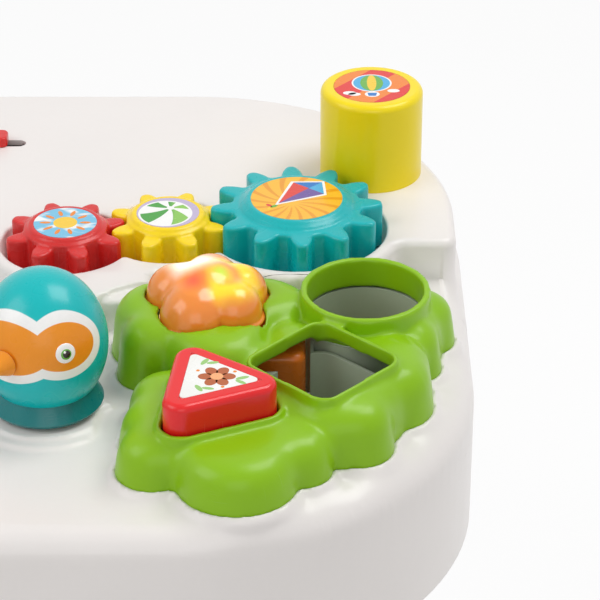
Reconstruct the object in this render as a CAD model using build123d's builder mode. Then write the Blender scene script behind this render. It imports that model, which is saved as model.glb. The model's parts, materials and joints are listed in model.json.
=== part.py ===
from build123d import *
import os
from math import acos, atan2, cos, degrees, hypot, pi, radians, sin, tan

# Musical activity table for babies: a white body on four legs.  The deck carries a
# tree-shaped sorter cover, a train of three gears, a bird spinner and a keyboard.
# Millimetres, +Z up, front towards -Y, origin on the floor under the body's centre.

os.makedirs("parts", exist_ok=True)

# ---------------------------------------------------------------- table body
TABLE_X = 400.0            # body width
TABLE_Y = 380.0            # body depth
CORNER_R = 133.0           # plan radius of the body's corners
DECK_Z = 350.0             # front deck above the floor
BODY_H = 71.0              # deck to underside
WALL = 3.0                 # shell wall
EDGE_R = 12.0              # rounding of the deck's outer edge
BODY_Z = DECK_Z - BODY_H   # underside of the body

PLINTH_H = 5.0             # wavy plinth under the sorter cover
PLINTH_LIP = 3.5           # plinth beyond the cover's outline
SEAT_DEPTH = 1.5           # recess in the plinth that the cover stands in
SEAT_GAP = 0.7             # gap round the cover in its recess
PLANE_Z = DECK_Z + PLINTH_H

# ---------------------------------------------------------------- sorter cover
COVER_T = 2.5              # cover wall
COVER_FOOT_T = 3.7         # the same at the foot of its drafted sides
COVER_TAPER = 5.0          # draft of the cover's walls, degrees
VALLEY_R = 4.0             # rounding where two lobes meet in plan

BUTTON_DOME_H = 28.0       # dome heights above the plinth
TRIANGLE_DOME_H = 19.0
SQUARE_DOME_H = 24.0
ROUND_DOME_H = 23.0

# lobes of each dome: centre x, centre y, radius at the foot
BUTTON_LOBES = [(80, -55, 34), (58, -48, 20.5), (56, -69.5, 15), (106, -45, 22), (86, -75, 24)]
TRIANGLE_LOBES = [
    (66, -106, 18), (63, -126, 17.5), (61, -145.5, 16), (96, -153.5, 26), (122, -145, 14), (100, -128, 28),
    (82, -135, 24),
]
SQUARE_LOBES = [
    (131.5, -103.6, 37), (136, -118, 27), (146, -128, 16), (160, -96, 20), (162, -85, 18), (119, -70, 14),
]
ROUND_LOBES = [(151, -48, 35), (172, -64, 13), (178, -40, 14)]

SHAPE_GAP = 0.8            # a block's clearance in its hole, all round

BLOCK_R = 25.0             # round block
BLOCK_H = 46.0
ROUND_HOLE_X = 151.0
ROUND_HOLE_Y = -48.0
COLLAR_TOP = 31.0          # above the plinth
COLLAR_DEPTH = 14.0
COLLAR_WALL = 3.2

SQUARE_SIDE = 45.0         # square block
SQUARE_R = 6.0
SQUARE_HOLE_X = 131.5
SQUARE_HOLE_Y = -103.6
SQUARE_TURN = 47.0         # degrees
SQUARE_RIM_TOP = 28.0
SQUARE_RIM_DEPTH = 7.0
SQUARE_RIM_W = 2.2

TRIANGLE_TIP_R = 27.5      # centre of the triangular block to its rounded tips
TRIANGLE_R = 8.0
TRIANGLE_X = 85.0
TRIANGLE_Y = -129.3
TRIANGLE_TURN = -6.0       # degrees
TRIANGLE_H = 30.0          # block height
TRIANGLE_EDGE_R = 3.0      # rounding of the block's upper edge
TRIANGLE_STICKER_R = 21.5
TRIANGLE_RIM_TOP = 22.0
TRIANGLE_PROUD = 13.0      # block above its rim
TRIANGLE_RIM_W = 2.6

# ---------------------------------------------------------------- light button
BUTTON_X = 81.0
BUTTON_Y = -52.0
BUTTON_CROWN_R = 19.0      # rounded middle of the button
BUTTON_LOBE_DROP = 4.5     # its outer lobes below the middle
# outer lobes: direction in degrees, distance from the middle, radius
BUTTON_LOBE_SET = [(246, 12.5, 15.5), (320, 15, 13), (20, 15, 12.5), (85, 14, 14), (160, 15, 13)]
BUTTON_TOP = 46.0          # above the plinth
BUTTON_TRAVEL = 2.5
BUTTON_GAP = 0.6
BUTTON_FLANGE = 1.2        # keeps the lens under the dome
BUTTON_FOOT = 23.6         # underside of the flange above the plinth
LENS_T = 2.2
HOUSING_X = 62.0           # light housing on the shell, beside the tray
HOUSING_Y = -52.0
HOUSING_W = 20.0
HOUSING_L = 36.0
HOUSING_T = 1.6
HOUSING_TOP = 21.0         # above the plinth
LIGHT_BOARD_Z = 12.0       # above the plinth
LAMP_Y = -44.0
PAD_Y = -59.0
PAD_H = 3.3
GUIDE_GAP = 0.3
BOARD_T = 1.6

# ---------------------------------------------------------------- gear train
MODULE = 6.1               # pitch diameter over teeth
PRESSURE = radians(28)
ADDENDUM = 4.3
DEDENDUM = 5.6
BACKLASH = 0.9
BIG_TEETH = 12
SMALL_TEETH = 8
TEAL_X = 120.4
TEAL_Y = 39.0
YELLOW_ANGLE = 184.0       # degrees, from the teal gear's axle to the yellow gear's
RED_ANGLE = 192.0          # degrees, from the yellow gear's axle to the red gear's
PLATFORM_H = 20.0          # raised rear deck above the front deck
PLATFORM_INSET = 4.0
PLATFORM_R = 4.0
SADDLE = (36.0, -13.0, 18.0)   # low hump between the gears and the spinner: x, y, radius
PLATFORM_FRONT_Y = 24.0
POCKET_FLOOR = 8.0         # pocket floor above the front deck
POCKET_GAP = 2.0           # gear tips to the pocket's wall
RIDGE_W = 6.5              # rim between the pocket and the front deck
GEAR_LIFT = 1.0            # gears above the pocket floor
TEAL_TEETH_H = 23.0        # gear heights above their own underside
TEAL_HUB_H = 26.5
SMALL_TEETH_H = 17.5
SMALL_HUB_H = 21.0
GEAR_WALL = 3.0
PIN_R = 4.0
RUNNING = 0.08             # radial running clearance
STICKER_T = 0.4
TEAL_STICKER_R = 21.7
SMALL_STICKER_R = 14.8

# ---------------------------------------------------------------- bird spinner
BIRD_X = 12.0
BIRD_Y = -91.0
BIRD_R = 28.0
BIRD_BASE_H = 9.0
BIRD_BASE_R = 21.0
BIRD_H = 54.0
BIRD_LIFT = 5.0            # spinner foot above the deck
BOSS_R = 33.0
BIRD_TURN = -30.0          # way the bird faces, degrees from the front
BEAK_Z = 388.0

# ---------------------------------------------------------------- keyboard
KEYS = 5
KEY_PITCH = 24.4
KEY_GAP = 1.2
KEY_L = 70.0
KEY_H = 17.5
KEY_X = -98.0              # middle of the keyboard
KEY_Y = -76.0
KEY_PROUD = 9.0
KEY_PRESS = 3.0            # degrees
ROD_R = 1.5

# ---------------------------------------------------------------- tray, legs, sound
TRAY_FLOOR = 30.0          # tray floor below the plinth
TRAY_T = 1.5
TRAY_TOP = 12.5            # tray walls above the plinth
TRAY_RING_TOP = 16.0       # the same round the round hole
TRAY_FLANGE = 3.0
BLOCK_BAY = (76.5, 128.0, -90.0, -33.0)   # tray beside the square hole: x from, to, y from, to
BLOCK_X = 102.0            # square block lying in the tray
BLOCK_Y = -58.0
SPARE_X = 157.0            # round block standing on the rear deck
SPARE_Y = 98.0
ROUND_STICKER_R = 18.5

LEG_INSET = 72.0           # legs' middles in from the body's sides
LEG_X = TABLE_X / 2 - LEG_INSET
LEG_Y = TABLE_Y / 2 - LEG_INSET
LEG_R = 19.0
LEG_FOOT_R = 25.0
SOCKET_L = 24.0
SOCKET_T = 3.0
FOOT_PAD_H = 5.0

SPEAKER_X = -112.0
SPEAKER_Y = 84.0
SPEAKER_R = 34.0
GRILLE_R = 42.0
SCREW_R = 1.5
SWITCH_X = -30.0           # power and volume switch
SWITCH_Y = 128.0
SWITCH_SLOT = 26.0
SWITCH_TRAVEL = 12.0


def at(x, y, z=0.0):
    """Horizontal plane with its origin above the given spot."""
    return Plane((x, y, z))


def upright(x, y):
    """Upright plane through the spot: sketch x is radius, sketch y is height."""
    return Plane((x, y, 0), x_dir=(1, 0, 0), z_dir=(0, -1, 0))


def post(x, y, z, r, h, mode=Mode.ADD):
    """Upright cylinder in the current part."""
    with BuildSketch(at(x, y, z)) as plan:
        Circle(r)
    extrude(plan.sketch, amount=h, mode=mode)


def slab(x, y, z, size, h, mode=Mode.ADD, turn=0.0):
    """Upright block in the current part; size is length, width and corner radius."""
    with BuildSketch(at(x, y, z)) as plan:
        with Locations(Location((0, 0, 0), turn)):
            RectangleRounded(*size)
    extrude(plan.sketch, amount=h, mode=mode)


def turned(x, y, profile, mode=Mode.ADD):
    """Turned piece in the current part, from corners of radius and height."""
    with BuildSketch(upright(x, y)) as half:
        with BuildLine():
            Polyline(*profile, close=True)
        make_face()
    revolve(half.sketch, axis=Axis((x, y, 0), (0, 0, 1)), mode=mode)


def body_outline(inset=0.0):
    """Plan of the table body, drawn in by the inset."""
    with BuildSketch() as plan:
        RectangleRounded(TABLE_X - 2 * inset, TABLE_Y - 2 * inset, CORNER_R - inset)
    return plan.sketch


def seam_angle(lobe, lobes):
    """Direction from a lobe to a neighbour that overlaps it, so its seam stays inside."""
    x, y, r = lobe
    others = [other for other in lobes if other is not lobe]
    near = min(others, key=lambda o: abs(hypot(o[0] - x, o[1] - y) - r) - o[2])
    return degrees(atan2(near[1] - y, near[0] - x))


def lobed(lobes, grow=0.0):
    """Plan of a dome: overlapping circles with softened valleys."""
    with BuildSketch() as plan:
        for lobe in lobes:
            with Locations(Location((lobe[0], lobe[1], 0), seam_angle(lobe, lobes))):
                Circle(lobe[2] + grow)
        fillet(plan.vertices(), max(VALLEY_R - abs(grow), 0.5))
    return plan.sketch


def tree_outline(grow=0.0):
    """Plan of the whole sorter cover."""
    domes = [lobed(s, grow) for s in (BUTTON_LOBES, TRIANGLE_LOBES, SQUARE_LOBES, ROUND_LOBES)]
    with BuildSketch() as plan:
        for dome_plan in domes:
            add(dome_plan)
    return plan.sketch


def dome(lobes, height, shoulder, inset=0.0):
    """Rounded dome standing in the plinth's recess: drafted outside, upright as a hollow."""
    plan = lobed(lobes, -inset)
    with BuildPart() as solid:
        add(plan.moved(Location((0, 0, PLANE_Z - SEAT_DEPTH))))
        rise = height + SEAT_DEPTH - (COVER_T if inset else 0)
        extrude(amount=rise, taper=0 if inset else COVER_TAPER)
        fillet(solid.faces().sort_by(Axis.Z)[-1].edges(), shoulder - inset)
    return solid.part


def triangle(grow=0.0):
    """Rounded triangle of the triangular block, about its own centre."""
    with BuildSketch() as plan:
        RegularPolygon(TRIANGLE_TIP_R + TRIANGLE_R + 2 * grow, 3, rotation=TRIANGLE_TURN)
        fillet(plan.vertices(), TRIANGLE_R + grow)
    return plan.sketch


def button_outline(grow=0.0):
    """Cloud-shaped plan of the light button, about its own centre."""
    with BuildSketch() as plan:
        Circle(16)
        for angle, reach, r in BUTTON_LOBE_SET:
            with PolarLocations(reach, 1, angle):
                Circle(r)
        fillet(plan.vertices(), 2.5)
        if grow:
            offset(amount=grow, mode=Mode.REPLACE)
    return plan.sketch


def pitch_r(teeth):
    return MODULE * teeth / 2


def tip_r(teeth):
    return pitch_r(teeth) + ADDENDUM


def root_r(teeth):
    return pitch_r(teeth) - DEDENDUM


def flank_angle(teeth, radius):
    """Half the tooth's angle at a radius, from the involute of its base circle."""
    base = pitch_r(teeth) * cos(PRESSURE)
    roll = acos(min(1.0, base / radius))
    at_pitch = pi / 2 / teeth - BACKLASH / 2 / pitch_r(teeth)
    return at_pitch + (tan(PRESSURE) - PRESSURE) - (tan(roll) - roll)


def gear_outline(teeth, turn):
    """Gear plan with involute flanks, one tooth at the given angle in degrees."""
    base = max(pitch_r(teeth) * cos(PRESSURE), root_r(teeth))
    tip = tip_r(teeth)
    middle = (base + tip) / 2

    def spot(radius, side):
        half = side * flank_angle(teeth, radius)
        return (radius * cos(half), radius * sin(half))

    inner = root_r(teeth) - 2
    foot = [(inner * cos(flank_angle(teeth, base)), s * inner * sin(flank_angle(teeth, base))) for s in (-1, 1)]
    with BuildSketch() as tooth:
        with BuildLine():
            Line(foot[0], spot(base, -1))
            ThreePointArc(spot(base, -1), spot(middle, -1), spot(tip, -1))
            ThreePointArc(spot(tip, -1), (tip, 0), spot(tip, 1))
            ThreePointArc(spot(tip, 1), spot(middle, 1), spot(base, 1))
            Line(spot(base, 1), foot[1])
            Line(foot[1], foot[0])
        make_face()
        if base - root_r(teeth) > 2:
            fillet(tooth.vertices().filter_by(lambda v: abs(hypot(v.X, v.Y) - base) < 0.1), 2)
    with BuildSketch() as plan:
        Circle(root_r(teeth))
        with PolarLocations(0, teeth, turn):
            add(tooth.sketch)
        fillet(plan.vertices().filter_by(lambda v: hypot(v.X, v.Y) > tip - 0.1), 1.6)
        fillet(plan.vertices().filter_by(lambda v: hypot(v.X, v.Y) < root_r(teeth) + 0.1), 1.2)
    return plan.sketch


# ---------------------------------------------------------------- derived places
CENTRE_DISTANCE = pitch_r(BIG_TEETH) + pitch_r(SMALL_TEETH)
SMALL_DISTANCE = 2 * pitch_r(SMALL_TEETH)
YELLOW_X = TEAL_X + CENTRE_DISTANCE * cos(radians(YELLOW_ANGLE))
YELLOW_Y = TEAL_Y + CENTRE_DISTANCE * sin(radians(YELLOW_ANGLE))
RED_X = YELLOW_X + SMALL_DISTANCE * cos(radians(RED_ANGLE))
RED_Y = YELLOW_Y + SMALL_DISTANCE * sin(radians(RED_ANGLE))

# a tooth of the driving gear points along each line of centres, a gap of the next meets it
TEAL_TURN = YELLOW_ANGLE
YELLOW_TURN = YELLOW_ANGLE + 180 + 180 / SMALL_TEETH
YELLOW_PHASE = (RED_ANGLE - YELLOW_TURN) * SMALL_TEETH / 360
RED_TURN = RED_ANGLE + 180 + (0.5 + YELLOW_PHASE) * 360 / SMALL_TEETH

GEARS = [
    (TEAL_X, TEAL_Y, BIG_TEETH, TEAL_TURN, TEAL_TEETH_H, TEAL_HUB_H, TEAL_STICKER_R),
    (YELLOW_X, YELLOW_Y, SMALL_TEETH, YELLOW_TURN, SMALL_TEETH_H, SMALL_HUB_H, SMALL_STICKER_R),
    (RED_X, RED_Y, SMALL_TEETH, RED_TURN, SMALL_TEETH_H, SMALL_HUB_H, SMALL_STICKER_R),
]
PLATFORM_Z = DECK_Z + PLATFORM_H
POCKET_Z = DECK_Z + POCKET_FLOOR
GEAR_Z = POCKET_Z + GEAR_LIFT
PLATE_Z = BODY_Z + WALL
SCREW_FRONT = 22 - TABLE_Y / 2     # screw bosses in from each side of the body
SCREW_REAR = TABLE_Y / 2 - 20
SCREW_LEFT = 19 - TABLE_X / 2
SCREW_RIGHT = TABLE_X / 2 - 17
CASE_SCREWS = [
    (-66, SCREW_FRONT), (30, SCREW_FRONT), (SCREW_LEFT, -10), (-60, SCREW_REAR), (60, SCREW_REAR), (SCREW_RIGHT, 75),
]


def platform_outline(inset=0.0):
    """Plan of the raised rear deck and the ridge that runs round the gears."""
    ridge = POCKET_GAP + RIDGE_W - inset
    front = PLATFORM_FRONT_Y + inset
    with BuildSketch() as plan:
        add(body_outline(PLATFORM_INSET + inset))
        with Locations((0, front - TABLE_Y / 2)):
            Rectangle(TABLE_X, TABLE_Y, mode=Mode.SUBTRACT)
        for wheel in GEARS:
            with Locations(Location((wheel[0], wheel[1], 0), 90)):
                Circle(tip_r(wheel[2]) + ridge)
        with Locations(Location((SADDLE[0], SADDLE[1], 0), 90)):
            Circle(SADDLE[2] - inset)
        fillet(plan.vertices().filter_by(lambda v: v.Y < front + 1), 2 if inset else 7)
    return plan.sketch


def pocket_outline(grow=0.0):
    """Plan of the pocket that the three gears turn in."""
    with BuildSketch() as plan:
        for gear in GEARS:
            with Locations(gear[:2]):
                Circle(tip_r(gear[2]) + POCKET_GAP + grow)
        fillet(plan.vertices(), 3)
    return plan.sketch


def tray_outline(grow=0.0):
    """Plan of the sorter tray: a bay under each hole and one for a dropped block."""
    x0, x1, y0, y1 = BLOCK_BAY
    hole = SQUARE_SIDE + 2 * (SHAPE_GAP + TRAY_T + 1 + grow)
    with BuildSketch() as plan:
        with Locations(Location((SQUARE_HOLE_X, SQUARE_HOLE_Y, 0), SQUARE_TURN)):
            RectangleRounded(hole, hole, SQUARE_R + 4 + grow)
        with Locations((ROUND_HOLE_X, ROUND_HOLE_Y)):
            Circle(BLOCK_R + SHAPE_GAP + 0.7 + TRAY_T + grow)
        with Locations(((x0 + x1) / 2, (y0 + y1) / 2)):
            RectangleRounded(x1 - x0 + 2 * grow, y1 - y0 + 2 * grow, 5 + grow)
    return plan.sketch


# ---------------------------------------------------------------- top shell
with BuildPart() as platform:
    add(platform_outline().moved(Location((0, 0, DECK_Z - EDGE_R))))
    extrude(amount=EDGE_R + PLATFORM_H)
    fillet(platform.faces().sort_by(Axis.Z)[-1].edges(), PLATFORM_R)
    add(pocket_outline().moved(Location((0, 0, POCKET_Z))))
    extrude(amount=PLATFORM_H, mode=Mode.SUBTRACT)
    fillet(platform.faces().sort_by(Axis.Z)[-1].inner_wires()[0].edges(), 1.5)

with BuildPart() as plinth:
    add(tree_outline(PLINTH_LIP).moved(Location((0, 0, DECK_Z - 1))))
    extrude(amount=PLINTH_H + 1)
    fillet(plinth.faces().sort_by(Axis.Z)[-1].edges(), 1.6)

with BuildPart() as cavity:
    add(body_outline(WALL).moved(Location((0, 0, BODY_Z))))
    extrude(amount=BODY_H - WALL)
    fillet(cavity.faces().sort_by(Axis.Z)[-1].edges(), EDGE_R - WALL)

with BuildPart() as rear_cavity:
    add(platform_outline(WALL).moved(Location((0, 0, DECK_Z - EDGE_R))))
    extrude(amount=EDGE_R + PLATFORM_H - WALL)
    add(pocket_outline(WALL).moved(Location((0, 0, POCKET_Z - WALL))))
    extrude(amount=PLATFORM_H, mode=Mode.SUBTRACT)

with BuildPart() as top_shell:
    add(body_outline().moved(Location((0, 0, BODY_Z))))
    extrude(amount=BODY_H)
    fillet(top_shell.faces().sort_by(Axis.Z)[-1].edges(), EDGE_R)
    add(platform.part)
    add(plinth.part)
    with BuildSketch(at(BIRD_X, BIRD_Y, DECK_Z)):
        Circle(BOSS_R)
    extrude(amount=1.5)
    with BuildSketch(at(BIRD_X, BIRD_Y, DECK_Z)):
        Circle(BOSS_R - 5)
    extrude(amount=3)
    with BuildSketch(at(BIRD_X, BIRD_Y, DECK_Z)):
        Circle(9)
    extrude(amount=BIRD_LIFT - 0.3)
    add(cavity.part, mode=Mode.SUBTRACT)
    add(rear_cavity.part, mode=Mode.SUBTRACT)
    # recess and well under the sorter cover, hollow beneath the plinth
    add(tree_outline(-1).moved(Location((0, 0, DECK_Z - WALL - 1))))
    extrude(amount=PLINTH_H + 1 - SEAT_DEPTH, mode=Mode.SUBTRACT)
    add(tree_outline(SEAT_GAP).moved(Location((0, 0, PLANE_Z - SEAT_DEPTH))))
    extrude(amount=PLINTH_H, mode=Mode.SUBTRACT)
    add(tray_outline(0.4).moved(Location((0, 0, DECK_Z - WALL - 1))))
    extrude(amount=PLINTH_H + WALL + 2, mode=Mode.SUBTRACT)
    # keyboard opening
    with BuildSketch(at(KEY_X, KEY_Y, DECK_Z - WALL - 1)):
        RectangleRounded(KEYS * KEY_PITCH + KEY_GAP, KEY_L + 2 * KEY_GAP, 3)
    extrude(amount=WALL + 2, mode=Mode.SUBTRACT)
    # sound opening and switch slot in the rear deck
    with BuildSketch(at(SPEAKER_X, SPEAKER_Y, PLATFORM_Z - WALL - 1)):
        Circle(SPEAKER_R)
    extrude(amount=WALL + 2, mode=Mode.SUBTRACT)
    with BuildSketch(at(SWITCH_X, SWITCH_Y, PLATFORM_Z - WALL - 1)):
        SlotOverall(SWITCH_SLOT, 7)
    extrude(amount=WALL + 2, mode=Mode.SUBTRACT)
    # screw posts down to the bottom shell
    for x, y in CASE_SCREWS:
        under = DECK_Z - WALL if y < PLATFORM_FRONT_Y else PLATFORM_Z - WALL
        post(x, y, PLATE_Z, 5, under - PLATE_Z + 1)
    with BuildSketch(Plane.XY.offset(PLATE_Z)):
        with Locations(*CASE_SCREWS):
            Circle(SCREW_R + 0.1)
    extrude(amount=22, mode=Mode.SUBTRACT)
    # holes for the gear pins and the spinner's axle
    with BuildSketch(Plane.XY.offset(DECK_Z - WALL - 1)):
        with Locations(*[gear[:2] for gear in GEARS], (BIRD_X, BIRD_Y)):
            Circle(PIN_R)
    extrude(amount=PLATFORM_H, mode=Mode.SUBTRACT)
top_shell.part.label = "top_shell"
export_step(top_shell.part, "parts/top_shell.step")

# ---------------------------------------------------------------- sorter cover
FOOT_Z = PLANE_Z - SEAT_DEPTH
BUTTON_CEILING = PLANE_Z + BUTTON_DOME_H - COVER_T
POCKET_BLOCK_Z = PLANE_Z + TRIANGLE_RIM_TOP + TRIANGLE_PROUD - TRIANGLE_H
DOMES = [
    (BUTTON_LOBES, BUTTON_DOME_H, 12),
    (TRIANGLE_LOBES, TRIANGLE_DOME_H, 11.5),
    (SQUARE_LOBES, SQUARE_DOME_H, 12),
    (ROUND_LOBES, ROUND_DOME_H, 10.5),
]

with BuildPart() as sorter_cover:
    for lobes, height, shoulder in DOMES:
        add(dome(lobes, height, shoulder))
    for lobes, height, shoulder in DOMES:
        add(dome(lobes, height, shoulder, COVER_FOOT_T), mode=Mode.SUBTRACT)
    # room for the tray, its flange and the button's flange and guide
    add(tray_outline(0.5).moved(Location((0, 0, FOOT_Z))))
    extrude(amount=SEAT_DEPTH + TRAY_RING_TOP + 0.5, mode=Mode.SUBTRACT)
    add(tray_outline(TRAY_FLANGE + 0.4).moved(Location((0, 0, FOOT_Z))))
    extrude(amount=SEAT_DEPTH + 0.3, mode=Mode.SUBTRACT)
    add(button_outline(BUTTON_FLANGE + 0.4).moved(Location((BUTTON_X, BUTTON_Y, BUTTON_CEILING - 9))))
    extrude(amount=9, mode=Mode.SUBTRACT)
    slab(HOUSING_X, HOUSING_Y, BUTTON_CEILING - 9, (HOUSING_W, HOUSING_L, 4), 9, Mode.SUBTRACT)
    # collar of the round hole
    hole_r = BLOCK_R + SHAPE_GAP
    collar_z = PLANE_Z + COLLAR_TOP - COLLAR_DEPTH
    post(ROUND_HOLE_X, ROUND_HOLE_Y, collar_z, hole_r + COLLAR_WALL, COLLAR_DEPTH)
    post(ROUND_HOLE_X, ROUND_HOLE_Y, FOOT_Z, hole_r, 60, Mode.SUBTRACT)
    # rim of the square hole
    side = SQUARE_SIDE + 2 * SHAPE_GAP
    rim = (side + 2 * SQUARE_RIM_W, side + 2 * SQUARE_RIM_W, SQUARE_R + SHAPE_GAP + SQUARE_RIM_W)
    rim_z = PLANE_Z + SQUARE_RIM_TOP - SQUARE_RIM_DEPTH
    slab(SQUARE_HOLE_X, SQUARE_HOLE_Y, rim_z, rim, SQUARE_RIM_DEPTH, turn=SQUARE_TURN)
    hole = (side, side, SQUARE_R + SHAPE_GAP)
    slab(SQUARE_HOLE_X, SQUARE_HOLE_Y, FOOT_Z, hole, 60, Mode.SUBTRACT, turn=SQUARE_TURN)
    # pocket of the triangular block
    here = Location((TRIANGLE_X, TRIANGLE_Y, POCKET_BLOCK_Z - COVER_T))
    add(triangle(SHAPE_GAP + TRIANGLE_RIM_W).moved(here))
    extrude(amount=PLANE_Z + TRIANGLE_RIM_TOP - POCKET_BLOCK_Z + COVER_T)
    add(triangle(SHAPE_GAP).moved(Location((TRIANGLE_X, TRIANGLE_Y, POCKET_BLOCK_Z))))
    extrude(amount=40, mode=Mode.SUBTRACT)
    # opening of the light button
    add(button_outline(BUTTON_GAP).moved(Location((BUTTON_X, BUTTON_Y, BUTTON_CEILING - 8))))
    extrude(amount=40, mode=Mode.SUBTRACT)
sorter_cover.part.label = "sorter_cover"
export_step(sorter_cover.part, "parts/sorter_cover.step")

# ---------------------------------------------------------------- sorter tray and blocks
TRAY_Z = PLANE_Z - TRAY_FLOOR

with BuildPart() as sorter_tray:
    add(tray_outline().moved(Location((0, 0, TRAY_Z - TRAY_T))))
    extrude(amount=TRAY_FLOOR + TRAY_T + TRAY_TOP)
    add(tray_outline(TRAY_FLANGE).moved(Location((0, 0, FOOT_Z))))
    extrude(amount=SEAT_DEPTH)
    ring_r = BLOCK_R + SHAPE_GAP + 0.7 + TRAY_T
    post(ROUND_HOLE_X, ROUND_HOLE_Y, TRAY_Z, ring_r, TRAY_FLOOR + TRAY_RING_TOP)
    add(tray_outline(-TRAY_T).moved(Location((0, 0, TRAY_Z))))
    extrude(amount=TRAY_FLOOR + 30, mode=Mode.SUBTRACT)
sorter_tray.part.label = "sorter_tray"
export_step(sorter_tray.part, "parts/sorter_tray.step")

with BuildPart() as square_block:
    slab(BLOCK_X, BLOCK_Y, TRAY_Z, (SQUARE_SIDE, SQUARE_SIDE, SQUARE_R), SQUARE_SIDE)
    fillet(square_block.faces().sort_by(Axis.Z)[-1].edges(), 4)
    hollow = SQUARE_SIDE - 2 * COVER_T
    slab(BLOCK_X, BLOCK_Y, TRAY_Z, (hollow, hollow, SQUARE_R - COVER_T), hollow + COVER_T, Mode.SUBTRACT)
square_block.part.label = "square_block"
export_step(square_block.part, "parts/square_block.step")

with BuildPart() as triangle_block:
    add(triangle().moved(Location((TRIANGLE_X, TRIANGLE_Y, POCKET_BLOCK_Z))))
    extrude(amount=TRIANGLE_H)
    fillet(triangle_block.faces().sort_by(Axis.Z)[-1].edges(), TRIANGLE_EDGE_R)
    add(triangle(-COVER_T).moved(Location((TRIANGLE_X, TRIANGLE_Y, POCKET_BLOCK_Z))))
    extrude(amount=TRIANGLE_H - COVER_T - STICKER_T, mode=Mode.SUBTRACT)
    with BuildSketch(at(TRIANGLE_X, TRIANGLE_Y, POCKET_BLOCK_Z + TRIANGLE_H - STICKER_T)):
        RegularPolygon(TRIANGLE_STICKER_R + 0.2, 3, rotation=TRIANGLE_TURN)
    extrude(amount=STICKER_T, mode=Mode.SUBTRACT)
triangle_block.part.label = "triangle_block"
export_step(triangle_block.part, "parts/triangle_block.step")

with BuildPart() as triangle_sticker:
    with BuildSketch(at(TRIANGLE_X, TRIANGLE_Y, POCKET_BLOCK_Z + TRIANGLE_H - STICKER_T)) as plan:
        RegularPolygon(TRIANGLE_STICKER_R, 3, rotation=TRIANGLE_TURN)
        fillet(plan.vertices(), 2)
    extrude(amount=STICKER_T)
triangle_sticker.part.label = "triangle_sticker"
export_step(triangle_sticker.part, "parts/triangle_sticker.step")

with BuildPart() as round_block:
    post(SPARE_X, SPARE_Y, PLATFORM_Z, BLOCK_R, BLOCK_H)
    fillet(round_block.faces().sort_by(Axis.Z)[-1].edges(), 3.5)
    post(SPARE_X, SPARE_Y, PLATFORM_Z, BLOCK_R - COVER_T, BLOCK_H - COVER_T - STICKER_T, Mode.SUBTRACT)
    top = PLATFORM_Z + BLOCK_H - STICKER_T
    post(SPARE_X, SPARE_Y, top, ROUND_STICKER_R + 0.2, STICKER_T, Mode.SUBTRACT)
round_block.part.label = "round_block"
export_step(round_block.part, "parts/round_block.step")

with BuildPart() as round_sticker:
    post(SPARE_X, SPARE_Y, PLATFORM_Z + BLOCK_H - STICKER_T, ROUND_STICKER_R, STICKER_T)
round_sticker.part.label = "round_sticker"
export_step(round_sticker.part, "parts/round_sticker.step")

# ---------------------------------------------------------------- light button
BUTTON_Z = PLANE_Z + BUTTON_FOOT
BOARD_Z = PLANE_Z + LIGHT_BOARD_Z
GUIDE_W = HOUSING_W - 2 * HOUSING_T - 2 * GUIDE_GAP
GUIDE_L = HOUSING_L - 2 * HOUSING_T - 2 * GUIDE_GAP

with BuildPart() as light_housing:
    outer = (HOUSING_W, HOUSING_L, 4)
    inner = (HOUSING_W - 2 * HOUSING_T, HOUSING_L - 2 * HOUSING_T, 2.4)
    slab(HOUSING_X, HOUSING_Y, FOOT_Z, outer, SEAT_DEPTH + HOUSING_TOP)
    slab(HOUSING_X, HOUSING_Y, BOARD_Z, inner, 20, Mode.SUBTRACT)
    slab(HOUSING_X, HOUSING_Y, FOOT_Z, inner, BOARD_Z - FOOT_Z - 2, Mode.SUBTRACT)
light_housing.part.label = "light_housing"
export_step(light_housing.part, "parts/light_housing.step")

with BuildPart() as light_board:
    slab(HOUSING_X, HOUSING_Y, BOARD_Z, (GUIDE_W, GUIDE_L, 2), BOARD_T)
light_board.part.label = "light_board"
export_step(light_board.part, "parts/light_board.step")

with BuildPart() as lamp:
    post(HOUSING_X, LAMP_Y, BOARD_Z + BOARD_T, 3, 1)
    post(HOUSING_X, LAMP_Y, BOARD_Z + BOARD_T, 2.5, 5)
    fillet(lamp.faces().sort_by(Axis.Z)[-1].edges(), 2.2)
lamp.part.label = "lamp"
export_step(lamp.part, "parts/lamp.step")

with BuildPart() as button_pad:
    post(HOUSING_X, PAD_Y, BOARD_Z + BOARD_T, 4, PAD_H)
button_pad.part.label = "button_pad"
export_step(button_pad.part, "parts/button_pad.step")

FLANGE_T = 1.6


def cloud(thin=0.0, foot=0.0):
    """Rounded lobes round a taller middle; thin draws them in, foot raises their flat underside."""
    middle = (0, 0, BUTTON_CROWN_R)
    with BuildPart() as puffs:
        for angle, reach, r in [middle] + BUTTON_LOBE_SET:
            x = BUTTON_X + reach * cos(radians(angle))
            y = BUTTON_Y + reach * sin(radians(angle))
            top = BUTTON_TOP - BUTTON_FOOT - (BUTTON_LOBE_DROP if reach else 0)
            knee = BUTTON_Z + top - r
            with BuildSketch(upright(x, y)) as half:
                with BuildLine():
                    Line((0, BUTTON_Z + foot), (r - thin, BUTTON_Z + foot))
                    Line((r - thin, BUTTON_Z + foot), (r - thin, knee))
                    CenterArc((0, knee), r - thin, 0, 90)
                    Line((0, knee + r - thin), (0, BUTTON_Z + foot))
                make_face()
            revolve(half.sketch, axis=Axis((x, y, 0), (0, 0, 1)))
    return puffs.part


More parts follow.
